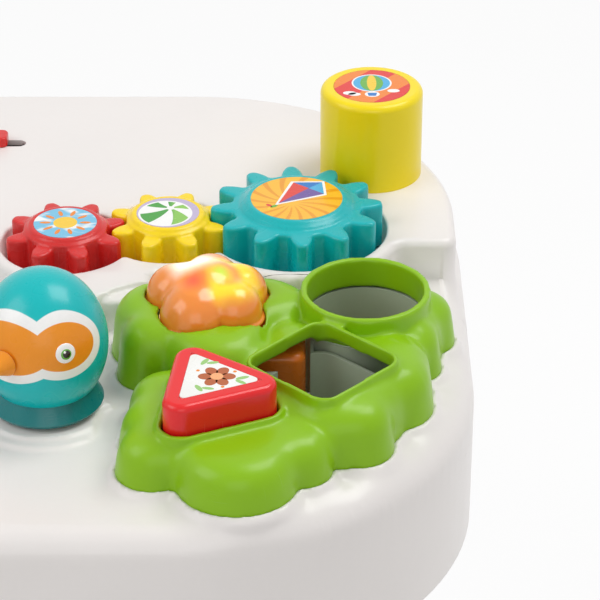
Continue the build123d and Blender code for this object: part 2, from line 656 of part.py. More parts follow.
with BuildPart() as light_lens:
    add(cloud())
    add(button_outline(BUTTON_FLANGE).moved(Location((BUTTON_X, BUTTON_Y, BUTTON_Z))))
    extrude(amount=FLANGE_T)
    guide_z = BOARD_Z + BOARD_T + BUTTON_TRAVEL + 0.3
    slab(HOUSING_X, HOUSING_Y, guide_z, (GUIDE_W, GUIDE_L, 2.2), BUTTON_Z + FLANGE_T - guide_z)
    add(cloud(LENS_T, FLANGE_T), mode=Mode.SUBTRACT)
    window = (GUIDE_W - 2.8, GUIDE_L - 2.8, 1)
    slab(HOUSING_X, HOUSING_Y, guide_z, window, BUTTON_Z + 2 - guide_z, Mode.SUBTRACT)
    slab(HOUSING_X, PAD_Y, BOARD_Z + BOARD_T + PAD_H, (GUIDE_W - 1, 7, 0.5), 3)
light_lens.part.label = "light_lens"
export_step(light_lens.part, "parts/light_lens.step")

# ---------------------------------------------------------------- gear train
HUB_HEAD_R = 9.0           # room for the screw head under a sticker
HUB_HEAD_H = 3.0


def gear(x, y, teeth, turn, teeth_h, hub_h, sticker_r):
    """Spur gear with a raised hub, hollow beneath, bored to run on its pin."""
    with BuildPart() as wheel:
        add(gear_outline(teeth, turn).moved(Location((x, y, GEAR_Z))))
        extrude(amount=teeth_h)
        fillet(wheel.faces().sort_by(Axis.Z)[-1].edges(), 1.1)
        post(x, y, GEAR_Z, sticker_r + 5, (teeth_h + hub_h) / 2)
        post(x, y, GEAR_Z, sticker_r + 2.8, hub_h)
        fillet(wheel.faces().sort_by(Axis.Z)[-1].edges(), 1.2)
        top = GEAR_Z + hub_h
        post(x, y, top - STICKER_T - 0.1, sticker_r + 0.2, 2, Mode.SUBTRACT)
        post(x, y, GEAR_Z, root_r(teeth) - GEAR_WALL, teeth_h - GEAR_WALL, Mode.SUBTRACT)
        post(x, y, GEAR_Z, HUB_HEAD_R + 2, hub_h - 2)
        post(x, y, GEAR_Z, PIN_R + RUNNING, hub_h, Mode.SUBTRACT)
        post(x, y, top - STICKER_T - HUB_HEAD_H, HUB_HEAD_R, HUB_HEAD_H, Mode.SUBTRACT)
    return wheel.part


def pin(x, y, foot_z, flange_h, top_z):
    """Flanged pin with a tapped bore, its tail through the deck below."""
    post(x, y, foot_z - 8, PIN_R - 0.1, 8)
    post(x, y, foot_z, 7, flange_h)
    post(x, y, foot_z, PIN_R, top_z - foot_z)
    post(x, y, top_z - 12, SCREW_R + 0.1, 12, Mode.SUBTRACT)


def screw(x, y, under_head, reach=10.0, head=6.0):
    """Pan-headed screw standing in the current part, its head upwards."""
    post(x, y, under_head - reach, SCREW_R, reach)
    post(x, y, under_head, head, 1.8)
    slab(x, y, under_head + 0.8, (head, 1, 0.2), 2, Mode.SUBTRACT)
    slab(x, y, under_head + 0.8, (head, 1, 0.2), 2, Mode.SUBTRACT, turn=90)


with BuildPart() as teal_gear:
    add(gear(*GEARS[0]))
teal_gear.part.label = "teal_gear"
export_step(teal_gear.part, "parts/teal_gear.step")

with BuildPart() as yellow_gear:
    add(gear(*GEARS[1]))
yellow_gear.part.label = "yellow_gear"
export_step(yellow_gear.part, "parts/yellow_gear.step")

with BuildPart() as red_gear:
    add(gear(*GEARS[2]))
red_gear.part.label = "red_gear"
export_step(red_gear.part, "parts/red_gear.step")

for name, wheel in zip(("teal", "yellow", "red"), GEARS):
    with BuildPart() as gear_sticker:
        post(wheel[0], wheel[1], GEAR_Z + wheel[5] - STICKER_T - 0.1, wheel[6], STICKER_T)
    gear_sticker.part.label = name + "_sticker"
    export_step(gear_sticker.part, "parts/" + name + "_sticker.step")

with BuildPart() as gear_pins:
    for wheel in GEARS:
        pin(wheel[0], wheel[1], POCKET_Z, GEAR_LIFT - 0.1, GEAR_Z + wheel[5] - STICKER_T - HUB_HEAD_H + 0.1)
gear_pins.part.label = "gear_pins"
export_step(gear_pins.part, "parts/gear_pins.step")

with BuildPart() as gear_screws:
    for wheel in GEARS:
        screw(wheel[0], wheel[1], GEAR_Z + wheel[5] - STICKER_T - HUB_HEAD_H + 0.1)
gear_screws.part.label = "gear_screws"
export_step(gear_screws.part, "parts/gear_screws.step")

# ---------------------------------------------------------------- bird spinner
BIRD_Z = DECK_Z + BIRD_LIFT
SEAM_Z = BIRD_Z + BIRD_BASE_H
MIDDLE_Z = SEAM_Z + 21     # widest part of the body
BIRD_RISE = BIRD_H - 21
PIN_TOP = SEAM_Z + 3.1
BEAK_DIR = (sin(radians(BIRD_TURN)), -cos(radians(BIRD_TURN)), 0)


def egg(r, rise):
    """Egg-shaped solid of the bird's body in the current part, cut off at the seam."""
    with BuildSketch(upright(BIRD_X, BIRD_Y)) as half:
        with Locations((0, MIDDLE_Z)):
            Ellipse(r, rise)
        cut = 2 * BIRD_H
        with Locations((-cut / 2, MIDDLE_Z), (0, SEAM_Z - cut / 2)):
            Rectangle(cut, cut, mode=Mode.SUBTRACT)
    return revolve(half.sketch, axis=Axis((BIRD_X, BIRD_Y, 0), (0, 0, 1)), mode=Mode.PRIVATE)


with BuildPart() as bird_body:
    add(egg(BIRD_R, BIRD_RISE))
    add(egg(BIRD_R - COVER_T, BIRD_RISE - COVER_T), mode=Mode.SUBTRACT)
    with BuildSketch(Plane((BIRD_X, BIRD_Y, BEAK_Z), z_dir=BEAK_DIR)) as socket:
        Circle(3.6)
    extrude(socket.sketch, amount=40, mode=Mode.SUBTRACT)
bird_body.part.label = "bird_body"
export_step(bird_body.part, "parts/bird_body.step")

with BuildPart() as bird_beak:
    beak_r = BIRD_R * (1 - ((BEAK_Z - MIDDLE_Z) / BIRD_RISE) ** 2) ** 0.5 + 0.2
    seat = Plane((BIRD_X + beak_r * BEAK_DIR[0], BIRD_Y + beak_r * BEAK_DIR[1], BEAK_Z), z_dir=BEAK_DIR)
    with BuildSketch(seat) as root:
        Circle(6)
    extrude(root.sketch, amount=8, taper=28)
    with BuildSketch(seat) as plug:
        Circle(3.4)
    extrude(plug.sketch, amount=-4)
bird_beak.part.label = "bird_beak"
export_step(bird_beak.part, "parts/bird_beak.step")

with BuildPart() as bird_base:
    turned(BIRD_X, BIRD_Y, [
        (0, BIRD_Z), (BIRD_BASE_R + 3, BIRD_Z), (BIRD_BASE_R + 4, BIRD_Z + 1.5),
        (BIRD_BASE_R, SEAM_Z - 0.3), (BIRD_BASE_R - 3.8, SEAM_Z - 0.3),
        (BIRD_BASE_R - 3.8, SEAM_Z + 3), (0, SEAM_Z + 3),
    ])
    turned(BIRD_X, BIRD_Y, [
        (7, BIRD_Z), (BIRD_BASE_R, BIRD_Z), (BIRD_BASE_R - 5.5, BIRD_Z + 6), (BIRD_BASE_R - 5.5, SEAM_Z), (7, SEAM_Z),
    ], Mode.SUBTRACT)
    post(BIRD_X, BIRD_Y, BIRD_Z, PIN_R + RUNNING, 30, Mode.SUBTRACT)
bird_base.part.label = "bird_base"
export_step(bird_base.part, "parts/bird_base.step")

with BuildPart() as bird_pin:
    pin(BIRD_X, BIRD_Y, BIRD_Z - 0.3, 0.2, PIN_TOP)
bird_pin.part.label = "bird_pin"
export_step(bird_pin.part, "parts/bird_pin.step")

with BuildPart() as bird_screw:
    screw(BIRD_X, BIRD_Y, PIN_TOP)
bird_screw.part.label = "bird_screw"
export_step(bird_screw.part, "parts/bird_screw.step")

# ---------------------------------------------------------------- keyboard
BOARD_W = KEYS * KEY_PITCH + KEY_GAP
BOARD_L = KEY_L + 2 * KEY_GAP
HINGE_Y = KEY_Y + KEY_L / 2 - 4
HINGE_Z = DECK_Z - WALL - ROD_R - 0.3
KEY_TOP = DECK_Z + KEY_PROUD
KEY_DROP = (KEY_L - 4) * tan(radians(KEY_PRESS))
STRIP_Z = KEY_TOP - KEY_H - KEY_DROP - 0.3

for i in range(KEYS):
    with BuildPart() as key:
        x = KEY_X + (i - (KEYS - 1) / 2) * KEY_PITCH
        wide = KEY_PITCH - KEY_GAP
        slab(x, KEY_Y, KEY_TOP - KEY_H, (wide, KEY_L, 2.5), KEY_H)
        fillet(key.faces().sort_by(Axis.Z)[-1].edges(), 2)
        slab(x, KEY_Y - 4, KEY_TOP - KEY_H, (wide - 5, KEY_L - 14, 1), KEY_H - WALL, Mode.SUBTRACT)
        with BuildSketch(Plane((x - wide / 2, HINGE_Y, HINGE_Z), z_dir=(1, 0, 0))) as bore:
            Circle(ROD_R + RUNNING)
        extrude(bore.sketch, amount=wide, mode=Mode.SUBTRACT)
    key.part.label = "key_" + str(i + 1)
    export_step(key.part, "parts/key_" + str(i + 1) + ".step")

with BuildPart() as key_rod:
    with BuildSketch(Plane((KEY_X - BOARD_W / 2 - 3, HINGE_Y, HINGE_Z), z_dir=(1, 0, 0))) as section:
        Circle(ROD_R)
    extrude(section.sketch, amount=BOARD_W + 6)
key_rod.part.label = "key_rod"
export_step(key_rod.part, "parts/key_rod.step")

with BuildPart() as key_frame:
    slab(KEY_X, KEY_Y, DECK_Z, (BOARD_W + 14, BOARD_L + 14, 9), 4)
    fillet(key_frame.faces().sort_by(Axis.Z)[-1].edges(), 1.5)
    slab(KEY_X, KEY_Y, DECK_Z, (BOARD_W, BOARD_L, 3), 5, Mode.SUBTRACT)
key_frame.part.label = "key_frame"
export_step(key_frame.part, "parts/key_frame.step")

with BuildPart() as key_tray:
    floor_z = STRIP_Z - 2.2 - BOARD_T - 2
    deep = DECK_Z - WALL - floor_z
    slab(KEY_X, KEY_Y, floor_z, (BOARD_W + 6, BOARD_L + 6, 5), deep)
    slab(KEY_X, KEY_Y, floor_z + 2, (BOARD_W + 2, BOARD_L + 2, 3), deep, Mode.SUBTRACT)
    with BuildSketch(Plane((KEY_X - BOARD_W, HINGE_Y, HINGE_Z), z_dir=(1, 0, 0))) as bore:
        Circle(ROD_R + 0.05)
        with Locations((0, 5)):
            Rectangle(2 * ROD_R + 0.1, 10)
    extrude(bore.sketch, amount=2 * BOARD_W, mode=Mode.SUBTRACT)
key_tray.part.label = "key_tray"
export_step(key_tray.part, "parts/key_tray.step")

with BuildPart() as key_board:
    slab(KEY_X, KEY_Y, floor_z + 2, (BOARD_W + 1.4, BOARD_L + 1.4, 2.7), BOARD_T)
key_board.part.label = "key_board"
export_step(key_board.part, "parts/key_board.step")

with BuildPart() as contact_strip:
    slab(KEY_X, KEY_Y - KEY_L / 2 + 8, floor_z + 2 + BOARD_T, (BOARD_W, 12, 2), 1.2)
    for i in range(KEYS):
        x = KEY_X + (i - (KEYS - 1) / 2) * KEY_PITCH
        for side in (-1, 1):
            slab(x + side * 9.5, KEY_Y - KEY_L / 2 + 6, floor_z + 2 + BOARD_T, (3, 5, 1), 2.2)
contact_strip.part.label = "contact_strip"
export_step(contact_strip.part, "parts/contact_strip.step")

# ---------------------------------------------------------------- sound and switch
with BuildPart() as speaker_grille:
    post(SPEAKER_X, SPEAKER_Y, PLATFORM_Z, GRILLE_R, 2.5)
    fillet(speaker_grille.faces().sort_by(Axis.Z)[-1].edges(), 1.2)
    post(SPEAKER_X, SPEAKER_Y, PLATFORM_Z - WALL, SPEAKER_R - 0.3, WALL)
    post(SPEAKER_X, SPEAKER_Y, PLATFORM_Z - WALL, SPEAKER_R - 3, WALL, Mode.SUBTRACT)
    with BuildSketch(at(SPEAKER_X, SPEAKER_Y, PLATFORM_Z - 1)) as slots:
        with PolarLocations(20, 12):
            SlotOverall(17, 3.2)
    extrude(slots.sketch, amount=6, mode=Mode.SUBTRACT)
speaker_grille.part.label = "speaker_grille"
export_step(speaker_grille.part, "parts/speaker_grille.step")

with BuildPart() as speaker:
    rim_z = PLATFORM_Z - WALL
    turned(SPEAKER_X, SPEAKER_Y, [
        (0, rim_z - 24), (18, rim_z - 24), (18, rim_z - 15), (SPEAKER_R + 3, rim_z - 4),
        (SPEAKER_R + 3, rim_z), (SPEAKER_R, rim_z), (12, rim_z - 12), (0, rim_z - 9),
    ])
speaker.part.label = "speaker"
export_step(speaker.part, "parts/speaker.step")

with BuildPart() as switch_body:
    slab(SWITCH_X, SWITCH_Y, PLATFORM_Z - WALL - 9, (SWITCH_SLOT + 16, 18, 2), 9)
    slab(SWITCH_X, SWITCH_Y, PLATFORM_Z - WALL - 7, (SWITCH_SLOT + 2, 9, 1), 9, Mode.SUBTRACT)
switch_body.part.label = "switch_body"
export_step(switch_body.part, "parts/switch_body.step")

with BuildPart() as switch_knob:
    rest = SWITCH_X - SWITCH_TRAVEL / 2
    slab(rest, SWITCH_Y, PLATFORM_Z - WALL - 6, (SWITCH_SLOT - SWITCH_TRAVEL - 1, 6, 2), 12)
    slab(rest, SWITCH_Y, PLATFORM_Z + 0.3, (20, 11, 3), 5)
    fillet(switch_knob.faces().sort_by(Axis.Z)[-1].edges(), 1.2)
    for side in (-1, 0, 1):
        slab(rest + side * 4, SWITCH_Y, PLATFORM_Z + 4.5, (1.4, 9, 0.6), 4, Mode.SUBTRACT)
switch_knob.part.label = "switch_knob"
export_step(switch_knob.part, "parts/switch_knob.step")

# ---------------------------------------------------------------- underside
BAY_L = 54.0               # inside of the battery bay
BAY_W = 50.0
BAY_H = 22.0
BAY_Y = 20.0
DOOR_L = 62.0
DOOR_W = 68.0
DOOR_Y = BAY_Y + 3
DOOR_T = 2.5
DOOR_SCREW_Y = BAY_Y + BAY_W / 2 + 7
MAIN_X = 80.0
MAIN_Y = 100.0
MAIN_L = 70.0
MAIN_W = 50.0
MAIN_POSTS = [(MAIN_X + a * 29, MAIN_Y + b * 19) for a in (-1, 1) for b in (-1, 1)]
LEGS = [("front_left", -1, -1), ("front_right", 1, -1), ("rear_left", -1, 1), ("rear_right", 1, 1)]

with BuildPart() as bottom_shell:
    add(body_outline(WALL + 0.4).moved(Location((0, 0, BODY_Z))))
    extrude(amount=WALL)
    with BuildSketch(Plane.XY.offset(PLATE_Z)):
        add(body_outline(WALL + 0.4))
        add(body_outline(WALL + 2.4), mode=Mode.SUBTRACT)
    extrude(amount=5)
    for name, sx, sy in LEGS:
        post(sx * LEG_X, sy * LEG_Y, BODY_Z - SOCKET_L, LEG_R + SOCKET_T, SOCKET_L)
        post(sx * LEG_X, sy * LEG_Y, BODY_Z - SOCKET_L, LEG_R + 0.15, SOCKET_L, Mode.SUBTRACT)
    slab(0, BAY_Y, BODY_Z, (BAY_L + 6, BAY_W + 6, 3), BAY_H + 4)
    post(0, DOOR_SCREW_Y, BODY_Z, 5, 18)
    slab(0, BAY_Y, BODY_Z, (BAY_L, BAY_W, 1), BAY_H + 2, Mode.SUBTRACT)
    post(0, DOOR_SCREW_Y, BODY_Z, SCREW_R + 0.1, 15, Mode.SUBTRACT)
    slab(0, DOOR_Y, BODY_Z, (DOOR_L + 0.8, DOOR_W + 0.8, 4), DOOR_T + 0.1, Mode.SUBTRACT)
    for x, y in MAIN_POSTS:
        post(x, y, PLATE_Z, 3.5, 10)
    for x, y in CASE_SCREWS:
        post(x, y, BODY_Z, 3.6, 2, Mode.SUBTRACT)
        post(x, y, BODY_Z, SCREW_R + 0.2, WALL, Mode.SUBTRACT)
bottom_shell.part.label = "bottom_shell"
export_step(bottom_shell.part, "parts/bottom_shell.step")

with BuildPart() as battery_door:
    slab(0, DOOR_Y, BODY_Z, (DOOR_L, DOOR_W, 3.6), DOOR_T)
    post(0, DOOR_SCREW_Y, BODY_Z, 3.6, 1.6, Mode.SUBTRACT)
    post(0, DOOR_SCREW_Y, BODY_Z, SCREW_R + 0.2, DOOR_T, Mode.SUBTRACT)
battery_door.part.label = "battery_door"
export_step(battery_door.part, "parts/battery_door.step")

CELL_Z = BODY_Z + DOOR_T + 9.5
CELL_R = 7.1

with BuildPart() as batteries:
    for row in (-1, 0, 1):
        with BuildSketch(Plane((-25.2, BAY_Y + row * 15.5, CELL_Z), z_dir=(1, 0, 0))) as cell:
            Circle(CELL_R)
        extrude(cell.sketch, amount=49.2)
        with BuildSketch(Plane((24, BAY_Y + row * 15.5, CELL_Z), z_dir=(1, 0, 0))) as tip:
            Circle(2.7)
        extrude(tip.sketch, amount=1.2)
batteries.part.label = "batteries"
export_step(batteries.part, "parts/batteries.step")

with BuildPart() as battery_contacts:
    for end in (-1, 1):
        for row in (-1, 0, 1):
            with Locations((end * (BAY_L / 2 - 0.9), BAY_Y + row * 15.5, CELL_Z)):
                Box(1.6, 12, 13)
battery_contacts.part.label = "battery_contacts"
export_step(battery_contacts.part, "parts/battery_contacts.step")


def under_screw(x, y, head_z, reach, head=3.3):
    """Screw driven in from below, its head downwards."""
    post(x, y, head_z, head, 1.5)
    post(x, y, head_z + 1.5, SCREW_R, reach)
    slab(x, y, head_z, (head, 0.9, 0.2), 0.8, Mode.SUBTRACT)
    slab(x, y, head_z, (head, 0.9, 0.2), 0.8, Mode.SUBTRACT, turn=90)


with BuildPart() as door_screw:
    under_screw(0, DOOR_SCREW_Y, BODY_Z + 0.1, 12)
door_screw.part.label = "door_screw"
export_step(door_screw.part, "parts/door_screw.step")

with BuildPart() as case_screws:
    for x, y in CASE_SCREWS:
        under_screw(x, y, BODY_Z + 0.5, 20)
case_screws.part.label = "case_screws"
export_step(case_screws.part, "parts/case_screws.step")

with BuildPart() as main_board:
    slab(MAIN_X, MAIN_Y, PLATE_Z + 10, (MAIN_L, MAIN_W, 2), BOARD_T)
    slab(MAIN_X, MAIN_Y, PLATE_Z + 10 + BOARD_T, (14, 14, 0.8), 2.2)
    slab(MAIN_X + 20, MAIN_Y, PLATE_Z + 10 + BOARD_T, (9, 6, 0.8), 3)
main_board.part.label = "main_board"
export_step(main_board.part, "parts/main_board.step")

# ---------------------------------------------------------------- legs
for name, sx, sy in LEGS:
    with BuildPart() as leg:
        turned(sx * LEG_X, sy * LEG_Y, [
            (0, FOOT_PAD_H), (LEG_FOOT_R, FOOT_PAD_H), (LEG_FOOT_R, 12), (LEG_FOOT_R - 2, 22),
            (LEG_R + 1.6, 45), (LEG_R, 80), (LEG_R, BODY_Z - SOCKET_L - 1),
            (LEG_R, BODY_Z), (0, BODY_Z),
        ])
        post(sx * LEG_X, sy * LEG_Y, FOOT_PAD_H, LEG_R - WALL, BODY_Z - FOOT_PAD_H - WALL, Mode.SUBTRACT)
    leg.part.label = "leg_" + name
    export_step(leg.part, "parts/leg_" + name + ".step")

with BuildPart() as foot_pads:
    for name, sx, sy in LEGS:
        turned(sx * LEG_X, sy * LEG_Y, [
            (0, 0), (LEG_FOOT_R - 2, 0), (LEG_FOOT_R, 1.5), (LEG_FOOT_R, FOOT_PAD_H),
            (LEG_R - WALL - 0.1, FOOT_PAD_H), (LEG_R - WALL - 0.1, FOOT_PAD_H + 8), (0, FOOT_PAD_H + 8),
        ])
foot_pads.part.label = "foot_pads"
export_step(foot_pads.part, "parts/foot_pads.step")
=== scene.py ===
import json
from math import atan2, cos, pi, radians, sin

import bmesh
import bpy
from mathutils import Matrix, Vector
from mathutils.bvhtree import BVHTree


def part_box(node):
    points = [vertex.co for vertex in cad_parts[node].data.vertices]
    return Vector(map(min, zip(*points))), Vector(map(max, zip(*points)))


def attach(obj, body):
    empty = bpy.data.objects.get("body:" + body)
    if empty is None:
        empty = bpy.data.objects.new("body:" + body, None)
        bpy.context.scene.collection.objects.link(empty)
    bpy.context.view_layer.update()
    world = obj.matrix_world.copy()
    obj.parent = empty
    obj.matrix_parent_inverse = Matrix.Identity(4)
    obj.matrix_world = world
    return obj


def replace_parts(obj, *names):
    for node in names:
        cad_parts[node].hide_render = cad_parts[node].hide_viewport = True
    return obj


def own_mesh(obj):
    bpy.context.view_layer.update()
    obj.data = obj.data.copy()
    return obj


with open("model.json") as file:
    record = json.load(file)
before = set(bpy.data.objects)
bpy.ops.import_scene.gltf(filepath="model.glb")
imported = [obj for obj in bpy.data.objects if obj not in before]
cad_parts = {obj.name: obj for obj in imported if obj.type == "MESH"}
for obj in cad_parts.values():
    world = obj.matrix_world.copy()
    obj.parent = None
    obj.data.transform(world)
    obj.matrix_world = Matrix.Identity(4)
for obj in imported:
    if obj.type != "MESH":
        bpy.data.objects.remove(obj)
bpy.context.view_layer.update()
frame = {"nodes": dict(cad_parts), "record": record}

# Looks of a musical activity table for babies: moulded plastic, printed films, a lit button
# and a spinning bird.  Metres, +Z up, front towards -Y, the same frame as the CAD parts.

NODES = frame["nodes"]
MM = 0.001


def top_middle(node):
    """Middle of a node's upper face."""
    low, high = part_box(node)
    return Vector(((low.x + high.x) / 2, (low.y + high.y) / 2, high.z))


# ---------------------------------------------------------------- colours
def dye(red, green, blue):
    """Linear colour with alpha, from the 0 to 255 values of a colour chart."""
    parts = [v / 255 for v in (red, green, blue)]
    return tuple(v / 12.92 if v <= 0.04045 else ((v + 0.055) / 1.055) ** 2.4 for v in parts) + (1,)


BODY_WHITE = dye(237, 232, 229)
COVER_GREEN = dye(141, 192, 12)
TRAY_GREY = dye(182, 192, 172)
BLOCK_ORANGE = dye(226, 118, 34)
BLOCK_RED = dye(236, 26, 30)
BLOCK_YELLOW = dye(252, 226, 12)
GEAR_TEAL = dye(8, 180, 184)
GEAR_YELLOW = dye(255, 220, 20)
GEAR_RED = dye(217, 42, 40)
BIRD_TEAL = dye(0, 188, 190)
BIRD_DARK = dye(16, 120, 122)
BEAK_ORANGE = dye(244, 150, 32)
KEY_COLOURS = [dye(219, 46, 44), dye(240, 135, 36), dye(248, 214, 30), dye(120, 186, 52), dye(44, 140, 206)]
PRINT_WHITE = dye(250, 250, 248)
INK_DARK = dye(42, 34, 32)


# ---------------------------------------------------------------- wiring of finishes
class Wiring:
    """Adds nodes to one tree and joins them, so that a finish reads from top to bottom."""

    def __init__(self, tree):
        self.tree = tree

    def join(self, value, socket):
        if isinstance(value, bpy.types.NodeSocket):
            self.tree.links.new(value, socket)
        else:
            socket.default_value = value

    def node(self, kind, **inputs):
        made = self.tree.nodes.new("ShaderNode" + kind)
        for name, value in inputs.items():
            self.join(value, made.inputs[name.replace("_", " ")])
        return made

    def math(self, operation, *values):
        made = self.tree.nodes.new("ShaderNodeMath")
        made.operation = operation
        for value, socket in zip(values, made.inputs):
            self.join(value, socket)
        return made.outputs[0]

    def vector(self, operation, *values):
        made = self.tree.nodes.new("ShaderNodeVectorMath")
        made.operation = operation
        for value, socket in zip(values, made.inputs):
            self.join(value, socket)
        plain = operation in ("LENGTH", "DISTANCE", "DOT_PRODUCT")
        return made.outputs["Value" if plain else "Vector"]

    def scaled(self, place, sizes):
        return self.vector("MULTIPLY", place, sizes)

    def mix(self, share, low, high, mode="MIX"):
        made = self.tree.nodes.new("ShaderNodeMix")
        made.data_type, made.blend_type = "RGBA", mode
        for value, socket in zip((share, low, high), (made.inputs[0], made.inputs[6], made.inputs[7])):
            self.join(value, socket)
        return made.outputs[2]

    def step(self, value, start, end, low=0.0, high=1.0):
        """Smooth change from low at start to high at end, flat beyond both."""
        made = self.tree.nodes.new("ShaderNodeMapRange")
        made.interpolation_type = "SMOOTHSTEP"
        for given, socket in zip((value, start, end, low, high), made.inputs):
            self.join(given, socket)
        return made.outputs[0]

    def noise(self, place, scale, detail=2.0, rough=0.5):
        made = self.node("TexNoise", Vector=place, Scale=scale, Detail=detail, Roughness=rough)
        return made.outputs[0]

    def place(self, origin=(0, 0, 0), turn=0.0):
        """Object coordinates about an origin, turned about the vertical axis."""
        coordinates = self.node("TexCoord").outputs["Object"]
        moved = self.vector("SUBTRACT", coordinates, tuple(origin))
        if not turn:
            return moved
        return self.node("VectorRotate", Vector=moved, Angle=turn).outputs[0]

    def axes(self, place):
        return self.node("SeparateXYZ", Vector=place).outputs

    def use(self, group, **inputs):
        made = self.tree.nodes.new("ShaderNodeGroup")
        made.node_tree = group
        for name, value in inputs.items():
            self.join(value, made.inputs[name.replace("_", " ")])
        return made.outputs


def effect(name, inputs, outputs):
    """Empty node group with named sockets; gives its wiring, inputs and result sockets."""
    group = bpy.data.node_groups.new(name, "ShaderNodeTree")
    for side, sockets in (("INPUT", inputs), ("OUTPUT", outputs)):
        for label, kind in sockets.items():
            group.interface.new_socket(name=label, in_out=side, socket_type="NodeSocket" + kind)
    given = group.nodes.new("NodeGroupInput").outputs
    result = group.nodes.new("NodeGroupOutput").inputs
    return group, Wiring(group), given, result


# ---------------------------------------------------------------- shared effects
def make_hairlines():
    """Fine scratches in two directions, in patches; a mask from 0 to 1."""
    group, wires, given, result = effect("hairlines", {"Amount": "Float"}, {"Mask": "Float"})
    place = wires.place()
    lines = []
    for turn, sizes in ((0.5, (60, 2600, 60)), (-0.9, (2300, 50, 50)), (2.2, (70, 60, 2200))):
        spun = wires.node("VectorRotate", Vector=place, Angle=turn).outputs[0]
        strand = wires.noise(wires.scaled(spun, sizes), 1.0, 1.0)
        lines.append(wires.step(strand, 0.70, 0.78))
    patch = wires.step(wires.noise(place, 45.0, 2.0), 0.5, 0.72)
    both = wires.math("MAXIMUM", wires.math("MAXIMUM", lines[0], lines[1]), lines[2])
    wires.join(wires.math("MULTIPLY", wires.math("MULTIPLY", both, patch), given["Amount"]), result["Mask"])
    return group


def make_edge_wear():
    """Where hands and boxes rub: a mask on outer edges, broken up by noise, and the softened normal."""
    group, wires, given, result = effect(
        "edge wear", {"Edge radius": "Float"}, {"Mask": "Float", "Soft normal": "Vector"}
    )
    rounded = wires.node("Bevel", Radius=given["Edge radius"])
    rounded.samples = 6
    true_normal = wires.node("NewGeometry").outputs["Normal"]
    turn = wires.vector("DOT_PRODUCT", rounded.outputs[0], true_normal)
    patch = wires.noise(wires.place(), 160.0, 3.0)
    edge = wires.step(turn, 0.995, 0.93)
    wires.join(wires.math("MULTIPLY", edge, patch), result["Mask"])
    wires.join(rounded.outputs[0], result["Soft normal"])
    return group


HAIRLINES = make_hairlines()
EDGE_WEAR = make_edge_wear()


def make_plastic_skin():
    """Moulded plastic: slow colour drift, pale rubbed edges, hairlines and a fine orange-peel grain."""
    group, wires, given, result = effect(
        "plastic skin",
        {"Colour": "Color", "Rubbed": "Color", "Mottle": "Float", "Wear": "Float",
         "Gloss": "Float", "Grain": "Float", "Edge radius": "Float"},
        {"Colour": "Color", "Roughness": "Float", "Normal": "Vector"},
    )
    place = wires.place()
    drift = wires.noise(place, 11.0, 3.0)
    speck = wires.noise(place, 420.0, 3.0)
    grain = wires.noise(place, 1500.0, 2.0)
    ripple = wires.noise(place, 130.0, 1.0)
    edges = wires.use(EDGE_WEAR, Edge_radius=given["Edge radius"])
    lines = wires.use(HAIRLINES, Amount=given["Wear"])["Mask"]
    drifted = wires.math("ADD", wires.math("MULTIPLY", drift, 0.8), wires.math("MULTIPLY", speck, 0.2))
    shade = wires.step(drifted, 0.3, 0.7, wires.math("SUBTRACT", 1.0, given["Mottle"]), 1.0)
    shaded = wires.vector("SCALE", given["Colour"])
    wires.join(shade, shaded.node.inputs["Scale"])
    rubbed = wires.math("MULTIPLY", edges["Mask"], given["Wear"])
    worn = wires.mix(rubbed, shaded, given["Rubbed"])
    wires.join(wires.mix(wires.math("MULTIPLY", lines, 0.25), worn, given["Rubbed"]), result["Colour"])
    rough = wires.math("ADD", given["Gloss"], wires.step(ripple, 0.35, 0.7, 0.0, 0.05))
    rough = wires.math("ADD", rough, wires.math("MULTIPLY", lines, 0.25))
    rough = wires.math("ADD", rough, wires.math("MULTIPLY", rubbed, 0.2))
    wires.join(rough, result["Roughness"])
    height = wires.math("ADD", grain, wires.math("MULTIPLY", ripple, 1.6))
    height = wires.math("SUBTRACT", height, wires.math("MULTIPLY", lines, 0.5))
    bump = wires.node(
        "Bump", Strength=given["Grain"], Distance=0.12 * MM, Height=height, Normal=edges["Soft normal"]
    )
    wires.join(bump.outputs[0], result["Normal"])
    return group


PLASTIC_SKIN = make_plastic_skin()


def make_film_skin():
    """Printed film under clear varnish: halftone dots, faint fibres and a slight wave."""
    group, wires, given, result = effect(
        "film skin", {"Print": "Color"}, {"Colour": "Color", "Roughness": "Float", "Normal": "Vector"}
    )
    place = wires.place()
    dots = wires.node("TexVoronoi", Vector=place, Scale=2600.0).outputs["Distance"]
    tone = wires.step(dots, 0.1, 0.7, 1.0, 0.95)
    printed = wires.vector("SCALE", given["Print"])
    wires.join(tone, printed.node.inputs["Scale"])
    lines = wires.use(HAIRLINES, Amount=0.8)["Mask"]
    wires.join(printed, result["Colour"])
    varnish = wires.step(wires.noise(place, 90.0), 0.3, 0.7, 0.2, 0.3)
    wires.join(wires.math("ADD", varnish, wires.math("MULTIPLY", lines, 0.3)), result["Roughness"])
    fibres = wires.math("MULTIPLY", wires.noise(place, 900.0), 0.15)
    wave = wires.math("ADD", wires.noise(place, 70.0), fibres)
    bump = wires.node("Bump", Strength=0.15, Distance=0.3 * MM, Height=wave)
    wires.join(bump.outputs[0], result["Normal"])
    return group


FILM_SKIN = make_film_skin()


# ---------------------------------------------------------------- finishes
def finish_of(name):
    """New material; gives it, its wiring and its surface shader."""
    made = bpy.data.materials.new(name)
    made.use_nodes = True
    wires = Wiring(made.node_tree)
    return made, wires, made.node_tree.nodes["Principled BSDF"]


def set_up(shader, **values):
    for name, value in values.items():
        shader.inputs[name.replace("_", " ")].default_value = value


def paler(colour, share=0.35):
    return tuple(c + (1 - c) * share for c in colour[:3]) + (1,)


def skin_onto(wires, shader, skin):
    wires.join(skin["Colour"], shader.inputs["Base Color"])
    wires.join(skin["Roughness"], shader.inputs["Roughness"])
    wires.join(skin["Normal"], shader.inputs["Normal"])


